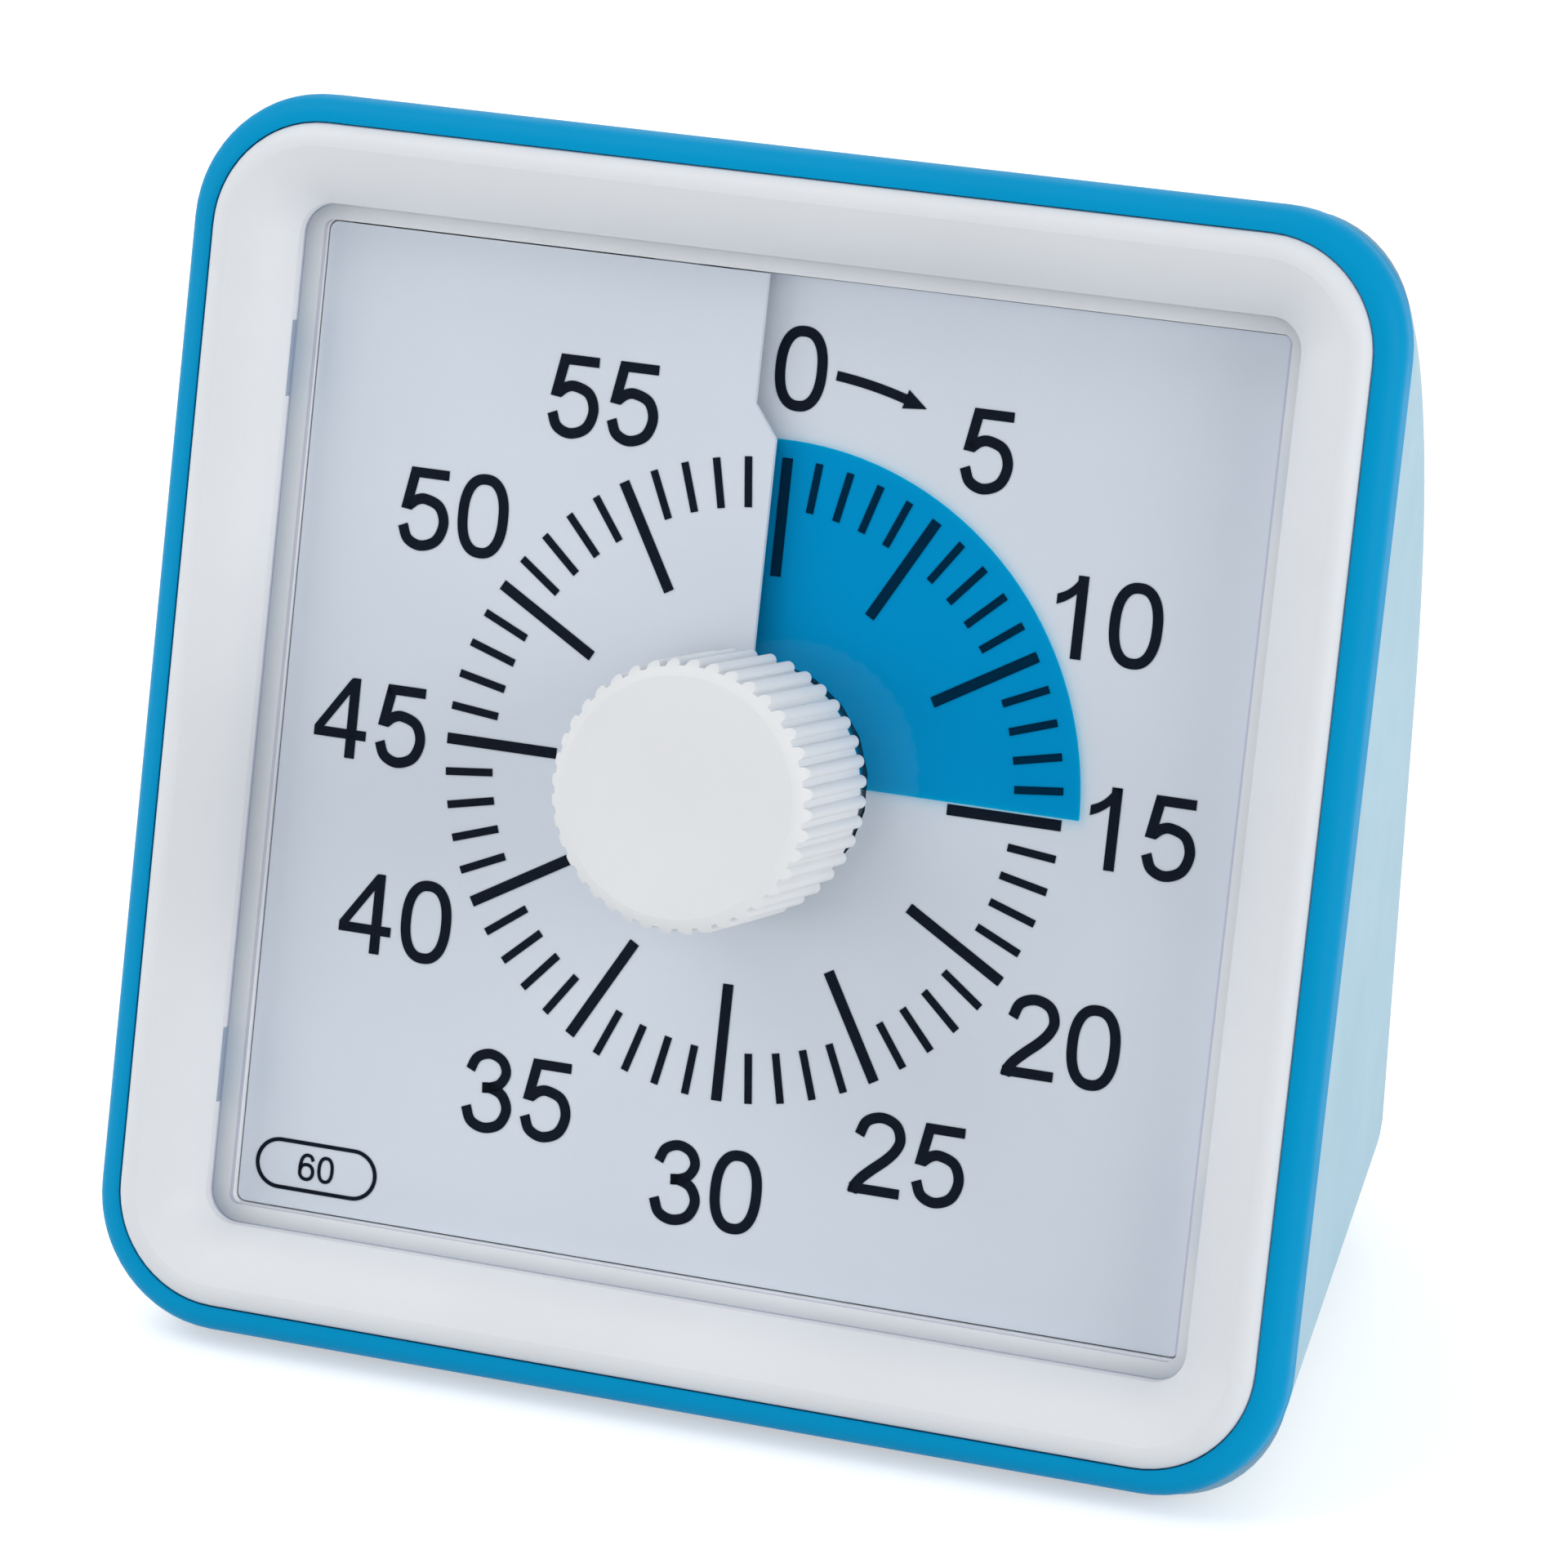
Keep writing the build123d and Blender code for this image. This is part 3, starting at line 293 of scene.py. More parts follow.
def moulded(name, colour, roughness, grain=6e-6, variation=0.03, specular=0.5):
    """Plastic with an uneven colour, a changing gloss and a grain. The colour's darkest part
    is darker by variation, and its lightest lighter by half of it. The grain is the height
    of the bump in metres."""
    tree = new_material(name)
    skin = tree.add("ShaderNodeBsdfPrincipled")
    skin.inputs["Specular IOR Level"].default_value = specular
    cloud = tree.spread(tree.noise(CLOUD_SCALE), 0.0, 1.0)
    uneven = tree.blend(cloud, shade(colour, 1 - variation), shade(colour, 1 + variation / 2))
    gloss = tree.spread(tree.noise(GLOSS_SCALE), roughness - GLOSS_CHANGE, roughness + GLOSS_CHANGE)
    bump = tree.bump(tree.noise(GRAIN_SCALE, GRAIN_DETAIL), grain)
    tree.feed(skin.inputs["Base Color"], uneven)
    tree.feed(skin.inputs["Roughness"], gloss)
    tree.feed(skin.inputs["Normal"], bump)
    return tree.output(skin.outputs["BSDF"])


print("the grain is about", round(1000 / GRAIN_SCALE, 2), "mm wide")

# %% [markdown]
# The case has three plastics that show: satin white for the bezel and the knob, a deep
# blue for the rim and a pale blue for the housing. White light that glances off the deep
# blue would make it chalky, so its gloss is weak. The recess round the card is moulded in
# white too. It lies deep between walls, where less light reaches it, so its white is a
# little lighter, painted light that makes up for that. The card and its ink are matt.

# %% Plastics of the case
white_plastic = moulded("white_moulding", linear(226, 228, 232), 0.48, specular=0.35)
# painted light: the recess's white is lighter to make up for the shade between its walls
recess_painted_light = moulded("recess_white_painted_light", linear(240, 241, 244), 0.45, specular=0.35)
knob_plastic = moulded("knob_white", linear(230, 231, 233), 0.5, specular=0.35)
blue_plastic = moulded("blue_moulding", linear(0, 150, 203), 0.42, specular=0.05)
pale_plastic = moulded("pale_blue_moulding", linear(163, 198, 216), 0.5, specular=0.3)
black_plastic = moulded("case_black", linear(36, 37, 40), 0.5)
switch_plastic = moulded("switch_black", linear(30, 31, 34), 0.42)
nylon = moulded("nylon_wheel", linear(228, 224, 212), 0.45)
pad_rubber = moulded("pad_rubber", linear(58, 60, 64), 0.8, grain=3e-5)
board = moulded("board_green", linear(32, 96, 60), 0.45)
card_stock = moulded(
    "printed_card", linear(217, 223, 233), 0.6, grain=3e-6, variation=0.02, specular=0.2
)
ink = moulded("dial_ink", linear(10, 20, 34), 0.6, grain=2e-6, variation=0.1, specular=0.1)
print("materials, with those of the packed model:", len(bpy.data.materials))

# %% [markdown]
# ## Metals
#
# The contacts, springs, screws and parts of the movement are metal. Metal has no colour
# under its gloss: the mirror image itself is coloured. The same shader gives that when
# it is set to metallic, and rolling or turning leaves its gloss uneven, so the roughness
# follows a finer noise than the colour does.

# %% Metal material
TURNED_SCALE = 900.0   # cells in a metre, for the change of colour
TURNED_GLOSS = 0.08    # of the roughness, up and down
DULLEST, BRIGHTEST = 0.9, 1.05


def metal(name, colour, roughness):
    """A turned or rolled metal: full reflection in its own colour, with an uneven gloss."""
    tree = new_material(name)
    skin = tree.add("ShaderNodeBsdfPrincipled")
    skin.inputs["Metallic"].default_value = 1.0
    cloud = tree.spread(tree.noise(TURNED_SCALE), 0.0, 1.0)
    uneven = tree.blend(cloud, shade(colour, DULLEST), shade(colour, BRIGHTEST))
    finer = tree.noise(3 * TURNED_SCALE)
    gloss = tree.spread(finer, roughness - TURNED_GLOSS, roughness + TURNED_GLOSS)
    tree.feed(skin.inputs["Base Color"], uneven)
    tree.feed(skin.inputs["Roughness"], gloss)
    return tree.output(skin.outputs["BSDF"])


bright_steel = metal("bright_steel", linear(200, 202, 205), 0.28)
soft_iron = metal("soft_iron", linear(160, 162, 166), 0.4)
brass = metal("brass_wheel", linear(214, 178, 100), 0.3)
copper = metal("copper_wire", linear(196, 118, 72), 0.35)
magnet = metal("magnet", linear(84, 84, 88), 0.45)
print("metals are ready")

# %% [markdown]
# ## The battery's sleeve
#
# A battery is a steel can in a shrunk plastic sleeve, dark with a coloured band at its
# plus end, and its two ends stay bare. One material does all three: the band begins at a
# place along the cell, and the faces that look along the cell are the bare ends. Three
# materials would need the mesh's faces sorted into slots, and the mesh isn't to change.

# %% Sleeve
BAND_START = 0.7       # share of the cell's length, from its minus end
END_FACING = 0.9       # a face is an end if its normal is this much along the cell
SLEEVE_DARK = linear(38, 40, 46)
SLEEVE_BAND = linear(190, 122, 62)
BARE_END = linear(190, 192, 196)
SLEEVE_GLOSS = (0.22, 0.32)              # its lowest and highest roughness


def facing(tree, direction):
    """How much a face looks along a direction, either way: the size of the dot product of
    its normal and the direction, from 0 for edge on to 1."""
    dot = tree.add("ShaderNodeVectorMath", operation="DOT_PRODUCT")
    dot.inputs[1].default_value = direction
    tree.feed(dot.inputs[0], tree.add("ShaderNodeNewGeometry").outputs["True Normal"])
    return tree.calculate("ABSOLUTE", dot.outputs["Value"])


low, high = (corner[0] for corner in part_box("aa_cell"))
plus_is_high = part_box("contact_plate")[0][0] > (low + high) / 2
band_edge = low + (BAND_START if plus_is_high else 1 - BAND_START) * (high - low)

tree = new_material("cell_sleeve")
along = tree.add("ShaderNodeSeparateXYZ")
tree.feed(along.inputs[0], tree.place())
in_band = tree.calculate("GREATER_THAN" if plus_is_high else "LESS_THAN", along.outputs["X"], band_edge)
is_end = tree.calculate("GREATER_THAN", facing(tree, ACROSS), END_FACING)
printed = tree.blend(in_band, SLEEVE_DARK, SLEEVE_BAND)
skin = tree.add("ShaderNodeBsdfPrincipled")
tree.feed(skin.inputs["Base Color"], tree.blend(is_end, printed, BARE_END))
tree.feed(skin.inputs["Metallic"], is_end)
tree.feed(skin.inputs["Roughness"], tree.spread(tree.noise(GLOSS_SCALE), *SLEEVE_GLOSS))
sleeve = tree.output(skin.outputs["BSDF"])
print("the band begins", round(BAND_START * (high - low) * 1000, 1), "mm from the minus end")

# %% [markdown]
# ## Every node takes its finish
#
# The record names a material slot for every sub-part, such as the pale blue moulding,
# and a finish goes to every node that has its name. The recess has the bezel's slot but
# a lighter white, painted light for the shade it lies in. The window and the film get
# theirs further down.


# %% Give the nodes their finishes
def give(node, material):
    """Puts a material in every slot of a node."""
    for slot in nodes[node].material_slots:
        slot.material = material


finishes = {
    "blue_moulding": blue_plastic,
    "white_moulding": white_plastic,
    "knob_white": knob_plastic,
    "pale_blue_moulding": pale_plastic,
    "printed_card": card_stock,
    "bright_steel": bright_steel,
    "cell_sleeve": sleeve,
    "case_black": black_plastic,
    "brass_wheel": brass,
    "nylon_wheel": nylon,
    "magnet": magnet,
    "soft_iron": soft_iron,
    "copper_wire": copper,
    "board_green": board,
    "switch_black": switch_plastic,
    "pad_rubber": pad_rubber,
}
finished = [part for part in frame["record"]["subparts"] if part["material_slot"] in finishes]
for part in finished:
    give(part["node"], finishes[part["material_slot"]])
# the recess takes the lighter white, painted light for its shade
give("dial_frame", recess_painted_light)
print("finished nodes:", len(finished))

# %% [markdown]
# ## The printing on the card
#
# The card carries sixty ticks, a number at every fifth minute, an arrow and a small
# outline with the longest time. Ink lies on the card as a layer a few hundredths of a
# millimetre thick, so each mark is a thin sheet just above the card. A text object would
# give the numbers in a ready-made typeface, but the strokes of these plain numerals are
# simple enough to draw: each is a strip carried along a curve.
#
# The card isn't flat. It climbs once round the dial like one turn of a wide screw, so
# that the film can pass under its end, and every mark takes the card's height where it
# lies.

# %% The card's screw surface
MINUTES = 60           # in a turn
DEGREES = 360 / MINUTES                  # in a minute
SCREW_PITCH = 1.4      # mm, the climb in one turn
CARD_TOP = 0.2         # mm, from the card's middle to its top
INK_LIFT = 0.045       # mm, from the card to the top of the ink
INK_LAYER = 0.02       # mm


def card_height(x, y, near):
    """Height of the ink in mm: the pitch times the share of a turn clockwise from the top,
    less half a pitch, plus the card's top and the ink's lift.

    The minute is taken within half a turn of the minute near, because the card's two ends
    lie one above the other at the top."""
    minute = np.degrees(np.arctan2(x, y)) / DEGREES
    minute = near + (minute - near + MINUTES / 2) % MINUTES - MINUTES / 2
    return SCREW_PITCH * (minute / MINUTES - 0.5) + CARD_TOP + INK_LIFT


climb = [round(float(card_height(0.0, 1.0, minute)), 3) for minute in (0, MINUTES - 0.01)]
print("the ink climbs from", climb[0], "to", climb[1], "mm")


# %% Strips of ink
def strip(first_edge, second_edge, closed=False):
    """A band between two curves: points in pairs, one from each, joined into quads. The
    last pair is joined to the first one if the band is closed."""
    edges = np.stack([np.asarray(first_edge, float), np.asarray(second_edge, float)], 1)
    return edges, grid_faces(len(edges), 2, closed)


def smooth_curve(knots, steps=10):
    """A curve through the knots: between two of them a cubic whose slope at each knot is
    half the line between the knots on either side of it, or at an end the whole line to
    the next knot."""
    knots = np.asarray(knots, float)
    slopes = np.gradient(knots, axis=0)
    t = np.linspace(0, 1, steps, endpoint=False)[:, None]
    start, end = knots[:-1, None], knots[1:, None]
    leave, arrive = slopes[:-1, None], slopes[1:, None]
    spans = (
        (2 * t**3 - 3 * t**2 + 1) * start
        + (t**3 - 2 * t**2 + t) * leave
        + (3 * t**2 - 2 * t**3) * end
        + (t**3 - t**2) * arrive
    )
    return np.concatenate([spans.reshape(-1, 2), knots[-1:]])


def sidestep(slopes, width):
    """Half the width, square to each slope: the slope turned left and made one long."""
    along = slopes / np.linalg.norm(slopes, axis=1, keepdims=True)
    return np.stack([-along[:, 1], along[:, 0]], 1) * width / 2


def stroke(line, width):
    """A band of a given width: the line moved half the width to each side, square to it."""
    aside = sidestep(np.gradient(line, axis=0), width)
    return strip(line + aside, line - aside)


def bar(x0, y0, x1, y1):
    """An upright rectangle between two corners."""
    return strip([(x0, y0), (x1, y0)], [(x0, y1), (x1, y1)])


def loop(centre, radii, power, width, steps=72):
    """A closed band round a rounded rectangle: x and y are the radii times the cosine and
    sine of an angle, each raised to 2 / power with its sign kept."""
    angle = np.linspace(0, 2 * np.pi, steps, endpoint=False)
    ring = np.stack([np.cos(angle), np.sin(angle)], 1)
    line = np.asarray(centre) + np.asarray(radii) * np.sign(ring) * np.abs(ring) ** (2 / power)
    around = np.concatenate([line[-1:], line, line[:1]])
    aside = sidestep(np.gradient(around, axis=0)[1:-1], width)
    return strip(line + aside, line - aside, closed=True)


print("a stroke of three knots has", len(stroke(smooth_curve([(0, 0), (1, 1), (2, 0)]), 0.1)[1]), "faces")


# %% From strips to a printed piece
def print_on_card(name, parts, near):
    """A piece of ink from strips in mm across and up the card, raised to the card's height.

    A quad whose shoelace area is negative would face the card, so its corners turn round."""
    points, faces = join_grids(parts)
    x, y = points[faces, 0], points[faces, 1]
    area = np.sum(x * np.roll(y, -1, axis=1) - y * np.roll(x, -1, axis=1), axis=1)
    faces = np.where(area[:, None] < 0, faces[:, ::-1], faces)
    x, y = points.T
    piece = make_object(name, on_dial(x, y, card_height(x, y, near)), faces)
    layer = piece.modifiers.new("ink_layer", "SOLIDIFY")
    layer.thickness = INK_LAYER / 1000
    layer.offset = -1.0
    piece.data.materials.append(ink)
    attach(piece, "housing")
    return piece


print("the ink is", INK_LAYER, "mm thick")

# %% [markdown]
# The numerals are plain and upright, all drawn with about the same pen. Each is about one
# unit high, from its foot near 0 to its top near 1. It is made of bars, of strips between
# two edges, of strokes along a smooth curve through a few knots, and of one loop where the
# figure is closed.

# %% The numerals, one unit high
PEN = 0.13
numerals = {
    "0": [loop((0.386, 0.4915), (0.2645, 0.4515), 2.35, PEN)],
    "1": [
        bar(0.391, 0.0, 0.523, 1.0),
        strip(
            smooth_curve([(0.4395, 1.0), (0.345, 0.875), (0.254, 0.799), (0.1515, 0.752)]),
            smooth_curve([(0.391, 0.775), (0.327, 0.722), (0.243, 0.668), (0.1515, 0.628)]),
        ),
        strip([(0.4395, 1.0), (0.391, 0.775)], [(0.5, 1.0), (0.5, 0.775)]),
    ],
    "2": [
        stroke(
            smooth_curve([
                (0.125, 0.712), (0.203, 0.888), (0.389, 0.9555), (0.575, 0.888), (0.645, 0.725),
                (0.6, 0.585), (0.49, 0.453), (0.335, 0.318), (0.205, 0.195), (0.13, 0.09), (0.108, 0.0),
            ]),
            PEN,
        ),
        bar(0.06, 0.0, 0.7, 0.1235),
    ],
    "3": [
        stroke(
            smooth_curve([
                (0.135, 0.7255), (0.21, 0.886), (0.373, 0.9525), (0.538, 0.891), (0.6045, 0.743),
                (0.535, 0.597), (0.39, 0.532), (0.31, 0.524),
            ]),
            0.96 * PEN,
        ),
        stroke(
            smooth_curve([
                (0.31, 0.524), (0.42, 0.53), (0.575, 0.463), (0.651, 0.29), (0.57, 0.1), (0.378, 0.031),
                (0.2, 0.098), (0.121, 0.271),
            ]),
            PEN,
        ),
    ],
    "4": [
        bar(0.446, 0.0, 0.577, 0.966),
        bar(0.018, 0.234, 0.7065, 0.356),
        strip(
            [(0.018, 0.356), (0.446, 0.966), (0.472, 0.996)],
            [(0.146, 0.356), (0.446, 0.787), (0.446, 0.966)],
        ),
        strip([(0.446, 0.966), (0.577, 0.966)], [(0.472, 0.996), (0.577, 0.996)]),
    ],
    "5": [
        bar(0.172, 0.862, 0.671, 0.985),
        strip([(0.0795, 0.471), (0.172, 0.985)], [(0.204, 0.455), (0.281, 0.862)]),
        stroke(
            smooth_curve([
                (0.17, 0.5), (0.275, 0.585), (0.395, 0.607), (0.58, 0.53), (0.653, 0.332),
                (0.575, 0.118), (0.378, 0.033), (0.2, 0.1), (0.122, 0.266),
            ]),
            PEN,
        ),
    ],
    "6": [
        loop((0.385, 0.3125), (0.2625, 0.279), 2.2, PEN),
        stroke(
            smooth_curve([
                (0.1225, 0.3125), (0.128, 0.55), (0.185, 0.79), (0.28, 0.915), (0.405, 0.953),
                (0.555, 0.9), (0.632, 0.747),
            ]),
            PEN,
        ),
    ],
}
ADVANCE = 0.774        # from one numeral to the next


def number(text, centre, height):
    """The strips of a number of a given height in mm, with the middle of its ink at centre."""
    parts = []
    for place, figure in enumerate(text):
        parts += [(points + (place * ADVANCE, 0), faces) for points, faces in numerals[figure]]
    points, faces = join_grids(parts)
    middle = (points.min(0) + points.max(0)) / 2
    return (points - middle) * height + centre, faces


print("numerals drawn:", " ".join(numerals))

# %% [markdown]
# The ticks are upright bars turned round the dial, all ending on one ring. An array
# modifier could turn copies of one bar, but then they would lie in one plane. Here the
# four corners of all sixty are worked out together, and each corner takes its own height.

# %% Sixty ticks, longer and wider at every fifth minute
RING = 20.5            # mm, from the dial's centre to the ticks' outer ends
MINOR_START = 17.3     # mm, from the dial's centre
MAJOR_START = 13.0
MINOR_WIDTH = 0.5      # mm
MAJOR_WIDTH = 0.7

minute = np.arange(MINUTES)
fifth = minute % 5 == 0
angle = np.radians(DEGREES * minute)
outwards = np.stack([np.sin(angle), np.cos(angle)], 1)
sideways = np.stack([np.cos(angle), -np.sin(angle)], 1)
aside = sideways * np.where(fifth, MAJOR_WIDTH, MINOR_WIDTH)[:, None] / 2
inner = outwards * np.where(fifth, MAJOR_START, MINOR_START)[:, None]
outer = outwards * RING
corners = np.stack([inner - aside, outer - aside, outer + aside, inner + aside], 1)
tick_faces = np.arange(4 * MINUTES).reshape(MINUTES, 4)
ticks = print_on_card("ticks", [(corners, tick_faces)], np.repeat(minute, 4))
print("ticks:", len(ticks.data.polygons))

# %% [markdown]
# The numbers stand upright round the ring and spread out towards the card's corners, so
# their places are set one by one, as a printer's layout has them. Each is a piece of its
# own and is printed near its own minute, because the card's two ends lie at different
# heights beside the 0.

# %% A number at every fifth minute
NUMBER_HEIGHT = 5.22   # mm
number_places = {      # minute: mm across and up, to the number's middle
    0: (0.25, 26.17), 5: (13.05, 22.47), 10: (22.05, 12.97), 15: (25.75, 0.17),
    20: (22.15, -13.43), 25: (13.05, -22.33), 30: (-0.05, -26.13), 35: (-13.35, -22.23),
    40: (-22.85, -12.03), 45: (-25.85, 0.27), 50: (-21.55, 14.37), 55: (-12.15, 22.67),
}
for at, place in number_places.items():
    print_on_card(f"number_{at}", [number(str(at), place, NUMBER_HEIGHT)], at)
print("numbers:", len(number_places))

# %% [markdown]
# Beside the 0 an arrow shows which way the knob is set. It is bent round the dial's
# centre, so both its shaft and its head are bands along a circle, and the head's width
# falls to almost nothing at the tip.

# %% The arrow that shows which way the knob is set
ARROW_RING = 26.15     # mm, from the dial's centre to the shaft of the arrow
ARROW_WIDTH = 0.62
HEAD_WIDTH = 1.27
TIP_WIDTH = 0.05
ARROW_START, SHAFT_END, ARROW_TIP = 5.8, 16.5, 19.5   # degrees clockwise from the top
HEAD_OVERLAP = 0.25    # degrees that the head covers of the shaft


def arc(radius, turn, width):
    """A band along a circle: turn holds degrees clockwise from the top, and width may change."""
    turn = np.radians(turn)
    ray = np.stack([np.sin(turn), np.cos(turn)], 1)
    half = np.broadcast_to(width, turn.shape)[:, None] / 2
    return strip(ray * (radius + half), ray * (radius - half))


arrow_shaft = arc(ARROW_RING, np.linspace(ARROW_START, SHAFT_END, 9), ARROW_WIDTH)
arrow_head = arc(ARROW_RING, [SHAFT_END - HEAD_OVERLAP, ARROW_TIP], [HEAD_WIDTH, TIP_WIDTH])
print_on_card("arrow", [arrow_shaft, arrow_head], 0)
print("the arrow covers", round(ARROW_TIP - ARROW_START, 1), "degrees")

# %% [markdown]
# The small outline at the lower left is a bar with round ends, drawn in a thin line
# round the plain number. It is a circle whose left and right halves are moved apart, and
# the straight sides come of themselves between the halves.

# %% A small outline with the longest time in it
LABEL = (-26.62, -29.08)                 # mm across and up, its middle
LABEL_MINUTE = 37                        # the minute that lies in its direction
LABEL_REACH = 4.24                       # mm, half its length
LABEL_RADIUS = 1.68
LABEL_LINE = 0.26
LABEL_NUMBER = 1.72                      # mm, the number's height


def stadium(centre, reach, radius, width, steps=25):
    """A closed band round a bar with round ends: a circle whose two halves are moved apart."""
    turn = np.radians([*np.linspace(-90, 90, steps), *np.linspace(90, 270, steps)])
    apart = np.repeat([1, -1], steps) * (reach - radius)
    middle = np.asarray(centre) + np.stack([apart, 0 * apart], 1)
    ring = np.stack([np.cos(turn), np.sin(turn)], 1)
    return strip(middle + ring * radius, middle + ring * (radius - width), closed=True)


outline = stadium(LABEL, LABEL_REACH, LABEL_RADIUS, LABEL_LINE)
print_on_card("range_outline", [outline], LABEL_MINUTE)
print_on_card("range_number", [number("60", LABEL, LABEL_NUMBER)], LABEL_MINUTE)

# %% [markdown]
# ## The blue film
#
# The film is a thin tinted plastic sheet. The ticks that are printed on the card stay
# visible under it, and it has a soft gloss of its own. Real refraction in a sheet this
# thin changes nothing that can be seen, so the film is a mix of a coloured clear shader
# and ordinary plastic of the same blue, which also renders much faster than glass.

# %% Film material
FILM_CLEAR = (0.0, 0.81, 0.95, 1.0)      # the shares of red, green and blue that it lets by
FILM_BODY = linear(0, 136, 192)
FILM_BODY_SHARE = 0.045                  # how much of it is plastic, and the rest clear
FILM_ROUGHNESS = 0.4
FILM_CLOUD_SCALE = 80.0
FILM_VARIATION = 0.03                    # lighter and darker

tree = new_material("blue_film")
clear = tree.add("ShaderNodeBsdfTransparent")
clear.inputs["Color"].default_value = FILM_CLEAR
body = tree.add("ShaderNodeBsdfPrincipled")
body.inputs["Roughness"].default_value = FILM_ROUGHNESS
cloud = tree.spread(tree.noise(FILM_CLOUD_SCALE), 0.0, 1.0)
darker, lighter = shade(FILM_BODY, 1 - FILM_VARIATION), shade(FILM_BODY, 1 + FILM_VARIATION)
tree.feed(body.inputs["Base Color"], tree.blend(cloud, darker, lighter))
film = tree.output(tree.mix(FILM_BODY_SHARE, clear.outputs[0], body.outputs[0]))
give("time_disc", film)
print("the film takes", film.name)

# %% [markdown]
# ## The clear window
#
# The window is a clear moulding over the whole dial. What shows that it is there is its
# gloss: the knob's mirror image beside the knob, and fine lines along its stepped edge.
# A glass shader would bend the light truly, but it is slow and its shadows are dark or
# noisy. Instead a Fresnel factor mixes a clear shader with a sharp reflection, so the
# window mirrors more at a glancing angle, as the real one does. Only front faces mirror:
# on a back face the factor would shut in light that a real window lets out.
#
# What the bending would do is painted in instead: the walls of the step and of the knob's
# hole send light aside and look greyer, so a face that stands square to the dial gets a
# darker tint, a painted shade. The refractive index is set lower than the 1.5 or so of
# clear plastic, to keep glare off the print. Nearly all light passes a clear window, so it
# casts no shadow, and the light that matt surfaces gather isn't stopped by it either.

# %% Window material
WALL_FACING = 0.5      # a wall's normal lies less than this much along the dial's axis
PANE_CLEAR = (0.985, 0.992, 0.995, 1.0)
# painted shade: the walls' darker tint stands in for light that refraction sends away
WALL_PAINTED_SHADE = (0.8, 0.77, 0.86, 1.0)
PANE_ROUGHNESS = 0.03
PANE_IOR = 1.28

tree = new_material("clear_plastic")
clear = tree.add("ShaderNodeBsdfTransparent")
is_wall = tree.calculate("LESS_THAN", facing(tree, OUT), WALL_FACING)
# walls take the painted shade, the flat pane its own clear colour
tree.feed(clear.inputs["Color"], tree.blend(is_wall, PANE_CLEAR, WALL_PAINTED_SHADE))
gloss = tree.add("ShaderNodeBsdfGlossy")
gloss.inputs["Roughness"].default_value = PANE_ROUGHNESS
fresnel = tree.add("ShaderNodeFresnel")
fresnel.inputs["IOR"].default_value = PANE_IOR
is_back = tree.add("ShaderNodeNewGeometry").outputs["Backfacing"]
is_front = tree.calculate("SUBTRACT", 1.0, is_back)
mirrored = tree.calculate("MULTIPLY", fresnel.outputs[0], is_front)
pane = tree.output(tree.mix(mirrored, clear.outputs[0], gloss.outputs[0]))
give("window", pane)
nodes["window"].visible_shadow = False
nodes["window"].visible_diffuse = False
print("the window takes", pane.name)

# %% [markdown]
# ## The studio
#
# A wide pale floor and a pale surround make a plain product shot. The floor is an
# ordinary matt surface, so the timer's soft shadow stays on it, with a little light of
# its own that only the camera and mirror images see, which brings it up to white. The
# surround works the same way: it shows as one pale grey, and lights the timer with a
# weaker, slightly cool light.

# %% Floor
PALE = (0.8, 0.8, 0.8, 1.0)
FLOOR_LIFT = 0.45      # strength of the floor's own light
FLOOR_REACH = 4.0      # metres, half its width


def seen(tree):
    """1 for rays from the camera, mirrors and glass and 0 for the rest, as the greatest of
    three of the outputs of Light Path."""
    ray = tree.add("ShaderNodeLightPath").outputs
    direct = tree.calculate("MAXIMUM", ray["Is Camera Ray"], ray["Is Glossy Ray"])
    return tree.calculate("MAXIMUM", direct, ray["Is Transmission Ray"])


tree = new_material("studio_floor")
matt = tree.add("ShaderNodeBsdfDiffuse")
matt.inputs["Color"].default_value = PALE
lift = tree.add("ShaderNodeEmission")
tree.feed(lift.inputs["Strength"], tree.calculate("MULTIPLY", seen(tree), FLOOR_LIFT))
both = tree.add("ShaderNodeAddShader")
tree.feed(both.inputs[0], matt.outputs[0])
tree.feed(both.inputs[1], lift.outputs[0])

sides = np.array([-FLOOR_REACH, FLOOR_REACH])
x, y = np.meshgrid(sides, sides)
floor = make_object("floor", np.stack([x, y, 0 * x], -1), grid_faces(2, 2))
floor.data.materials.append(tree.output(both.outputs[0]))
print("the floor is", 2 * FLOOR_REACH, "m wide")

# %% Surround
LIGHT_COLOUR = (0.92, 0.965, 1.0, 1.0)
LIGHT_STRENGTH = 0.62

world = bpy.data.worlds.new("surround")
bpy.context.scene.world = world
tree = Nodes(world)
shown = tree.add("ShaderNodeBackground")
shown.inputs["Color"].default_value = PALE
lighting = tree.add("ShaderNodeBackground")
lighting.inputs["Color"].default_value = LIGHT_COLOUR
lighting.inputs["Strength"].default_value = LIGHT_STRENGTH
tree.output(tree.mix(seen(tree), lighting.outputs[0], shown.outputs[0]))
print("the surround lights with a strength of", LIGHT_STRENGTH)

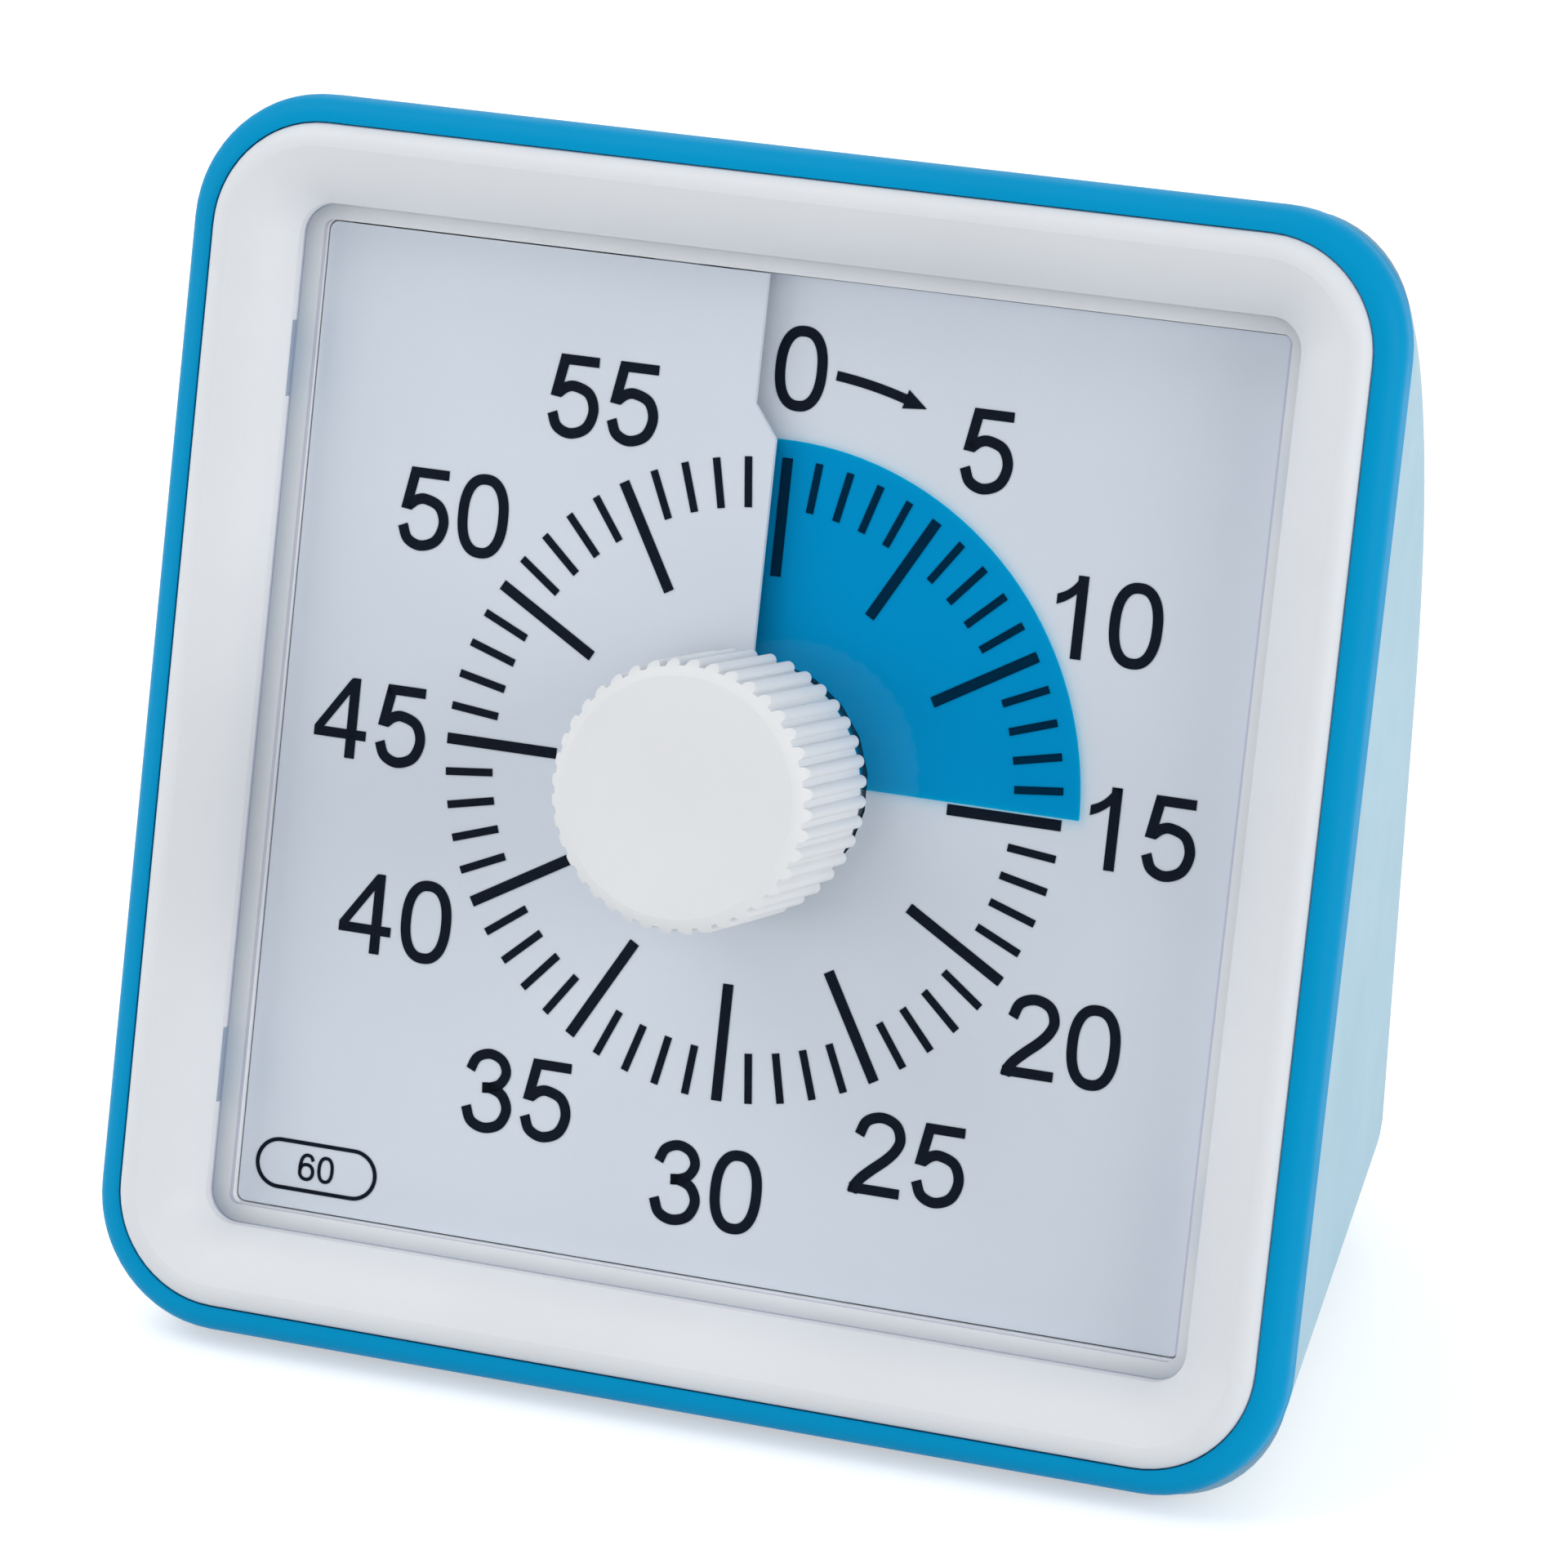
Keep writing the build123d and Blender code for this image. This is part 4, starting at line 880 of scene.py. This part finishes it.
# %% [markdown]
# Four wide square lamps stand round the timer. Wide lamps give shadows soft edges, and
# their light is slightly warm against the cool surround. Their powers are balanced so
# that a colour shows about as it is written: the left ones lift the bezel and the card,
# the right one the pale side, and the back one keeps the back from going dull.

# %% Lamps
LAMP_TINT = (1.0, 0.97, 0.93)
lamps = {              # name: place and width in metres, power in watts
    "top_left": ((-0.6, -0.2, 1.0), 0.7, 3.5),
    "left": ((-0.95, -0.6, 0.15), 0.7, 2.9),
    "right": ((1.0, -0.3, 0.3), 0.7, 5.0),
    "back": ((-0.25, 0.95, 0.75), 0.8, 3.0),
}
for name, (place, width, power) in lamps.items():
    lamp = bpy.data.lights.new(name, "AREA")
    lamp.shape = "SQUARE"
    lamp.size = width
    lamp.energy = power
    lamp.color = LAMP_TINT
    aim(add_object(name, lamp), place, CENTRE)
print("lamps:", len(lamps))

# %% [markdown]
# Glare would wash out the printing: the window mirrors whatever stands opposite the
# camera. A photographer hangs a dark screen there. This one shows in mirror images
# only, so it takes no light from the timer and never comes into a picture.

# %% A dark screen against glare
SCREEN_DISTANCE = 1.2  # metres from the dial
SCREEN_REACH = 0.6     # metres, half its width
VELVET = (0.02, 0.02, 0.02, 1.0)

to_camera = np.array(camera.location) - CENTRE
to_camera /= np.linalg.norm(to_camera)
to_screen = 2 * to_camera.dot(OUT) * OUT - to_camera
level = np.cross([0.0, 0.0, 1.0], to_screen)
level /= np.linalg.norm(level)
steep = np.cross(to_screen, level)
u, v = np.meshgrid([-SCREEN_REACH, SCREEN_REACH], [-SCREEN_REACH, SCREEN_REACH])
screen_points = CENTRE + SCREEN_DISTANCE * to_screen + u[..., None] * level + v[..., None] * steep
tree = new_material("dark_screen")
velvet = tree.add("ShaderNodeBsdfDiffuse")
velvet.inputs["Color"].default_value = VELVET
screen = make_object("screen", screen_points, grid_faces(2, 2))
screen.data.materials.append(tree.output(velvet.outputs[0]))
screen.visible_camera = False
screen.visible_diffuse = False
screen.visible_shadow = False
print("the screen stands at", screen_points.mean((0, 1)).round(3))
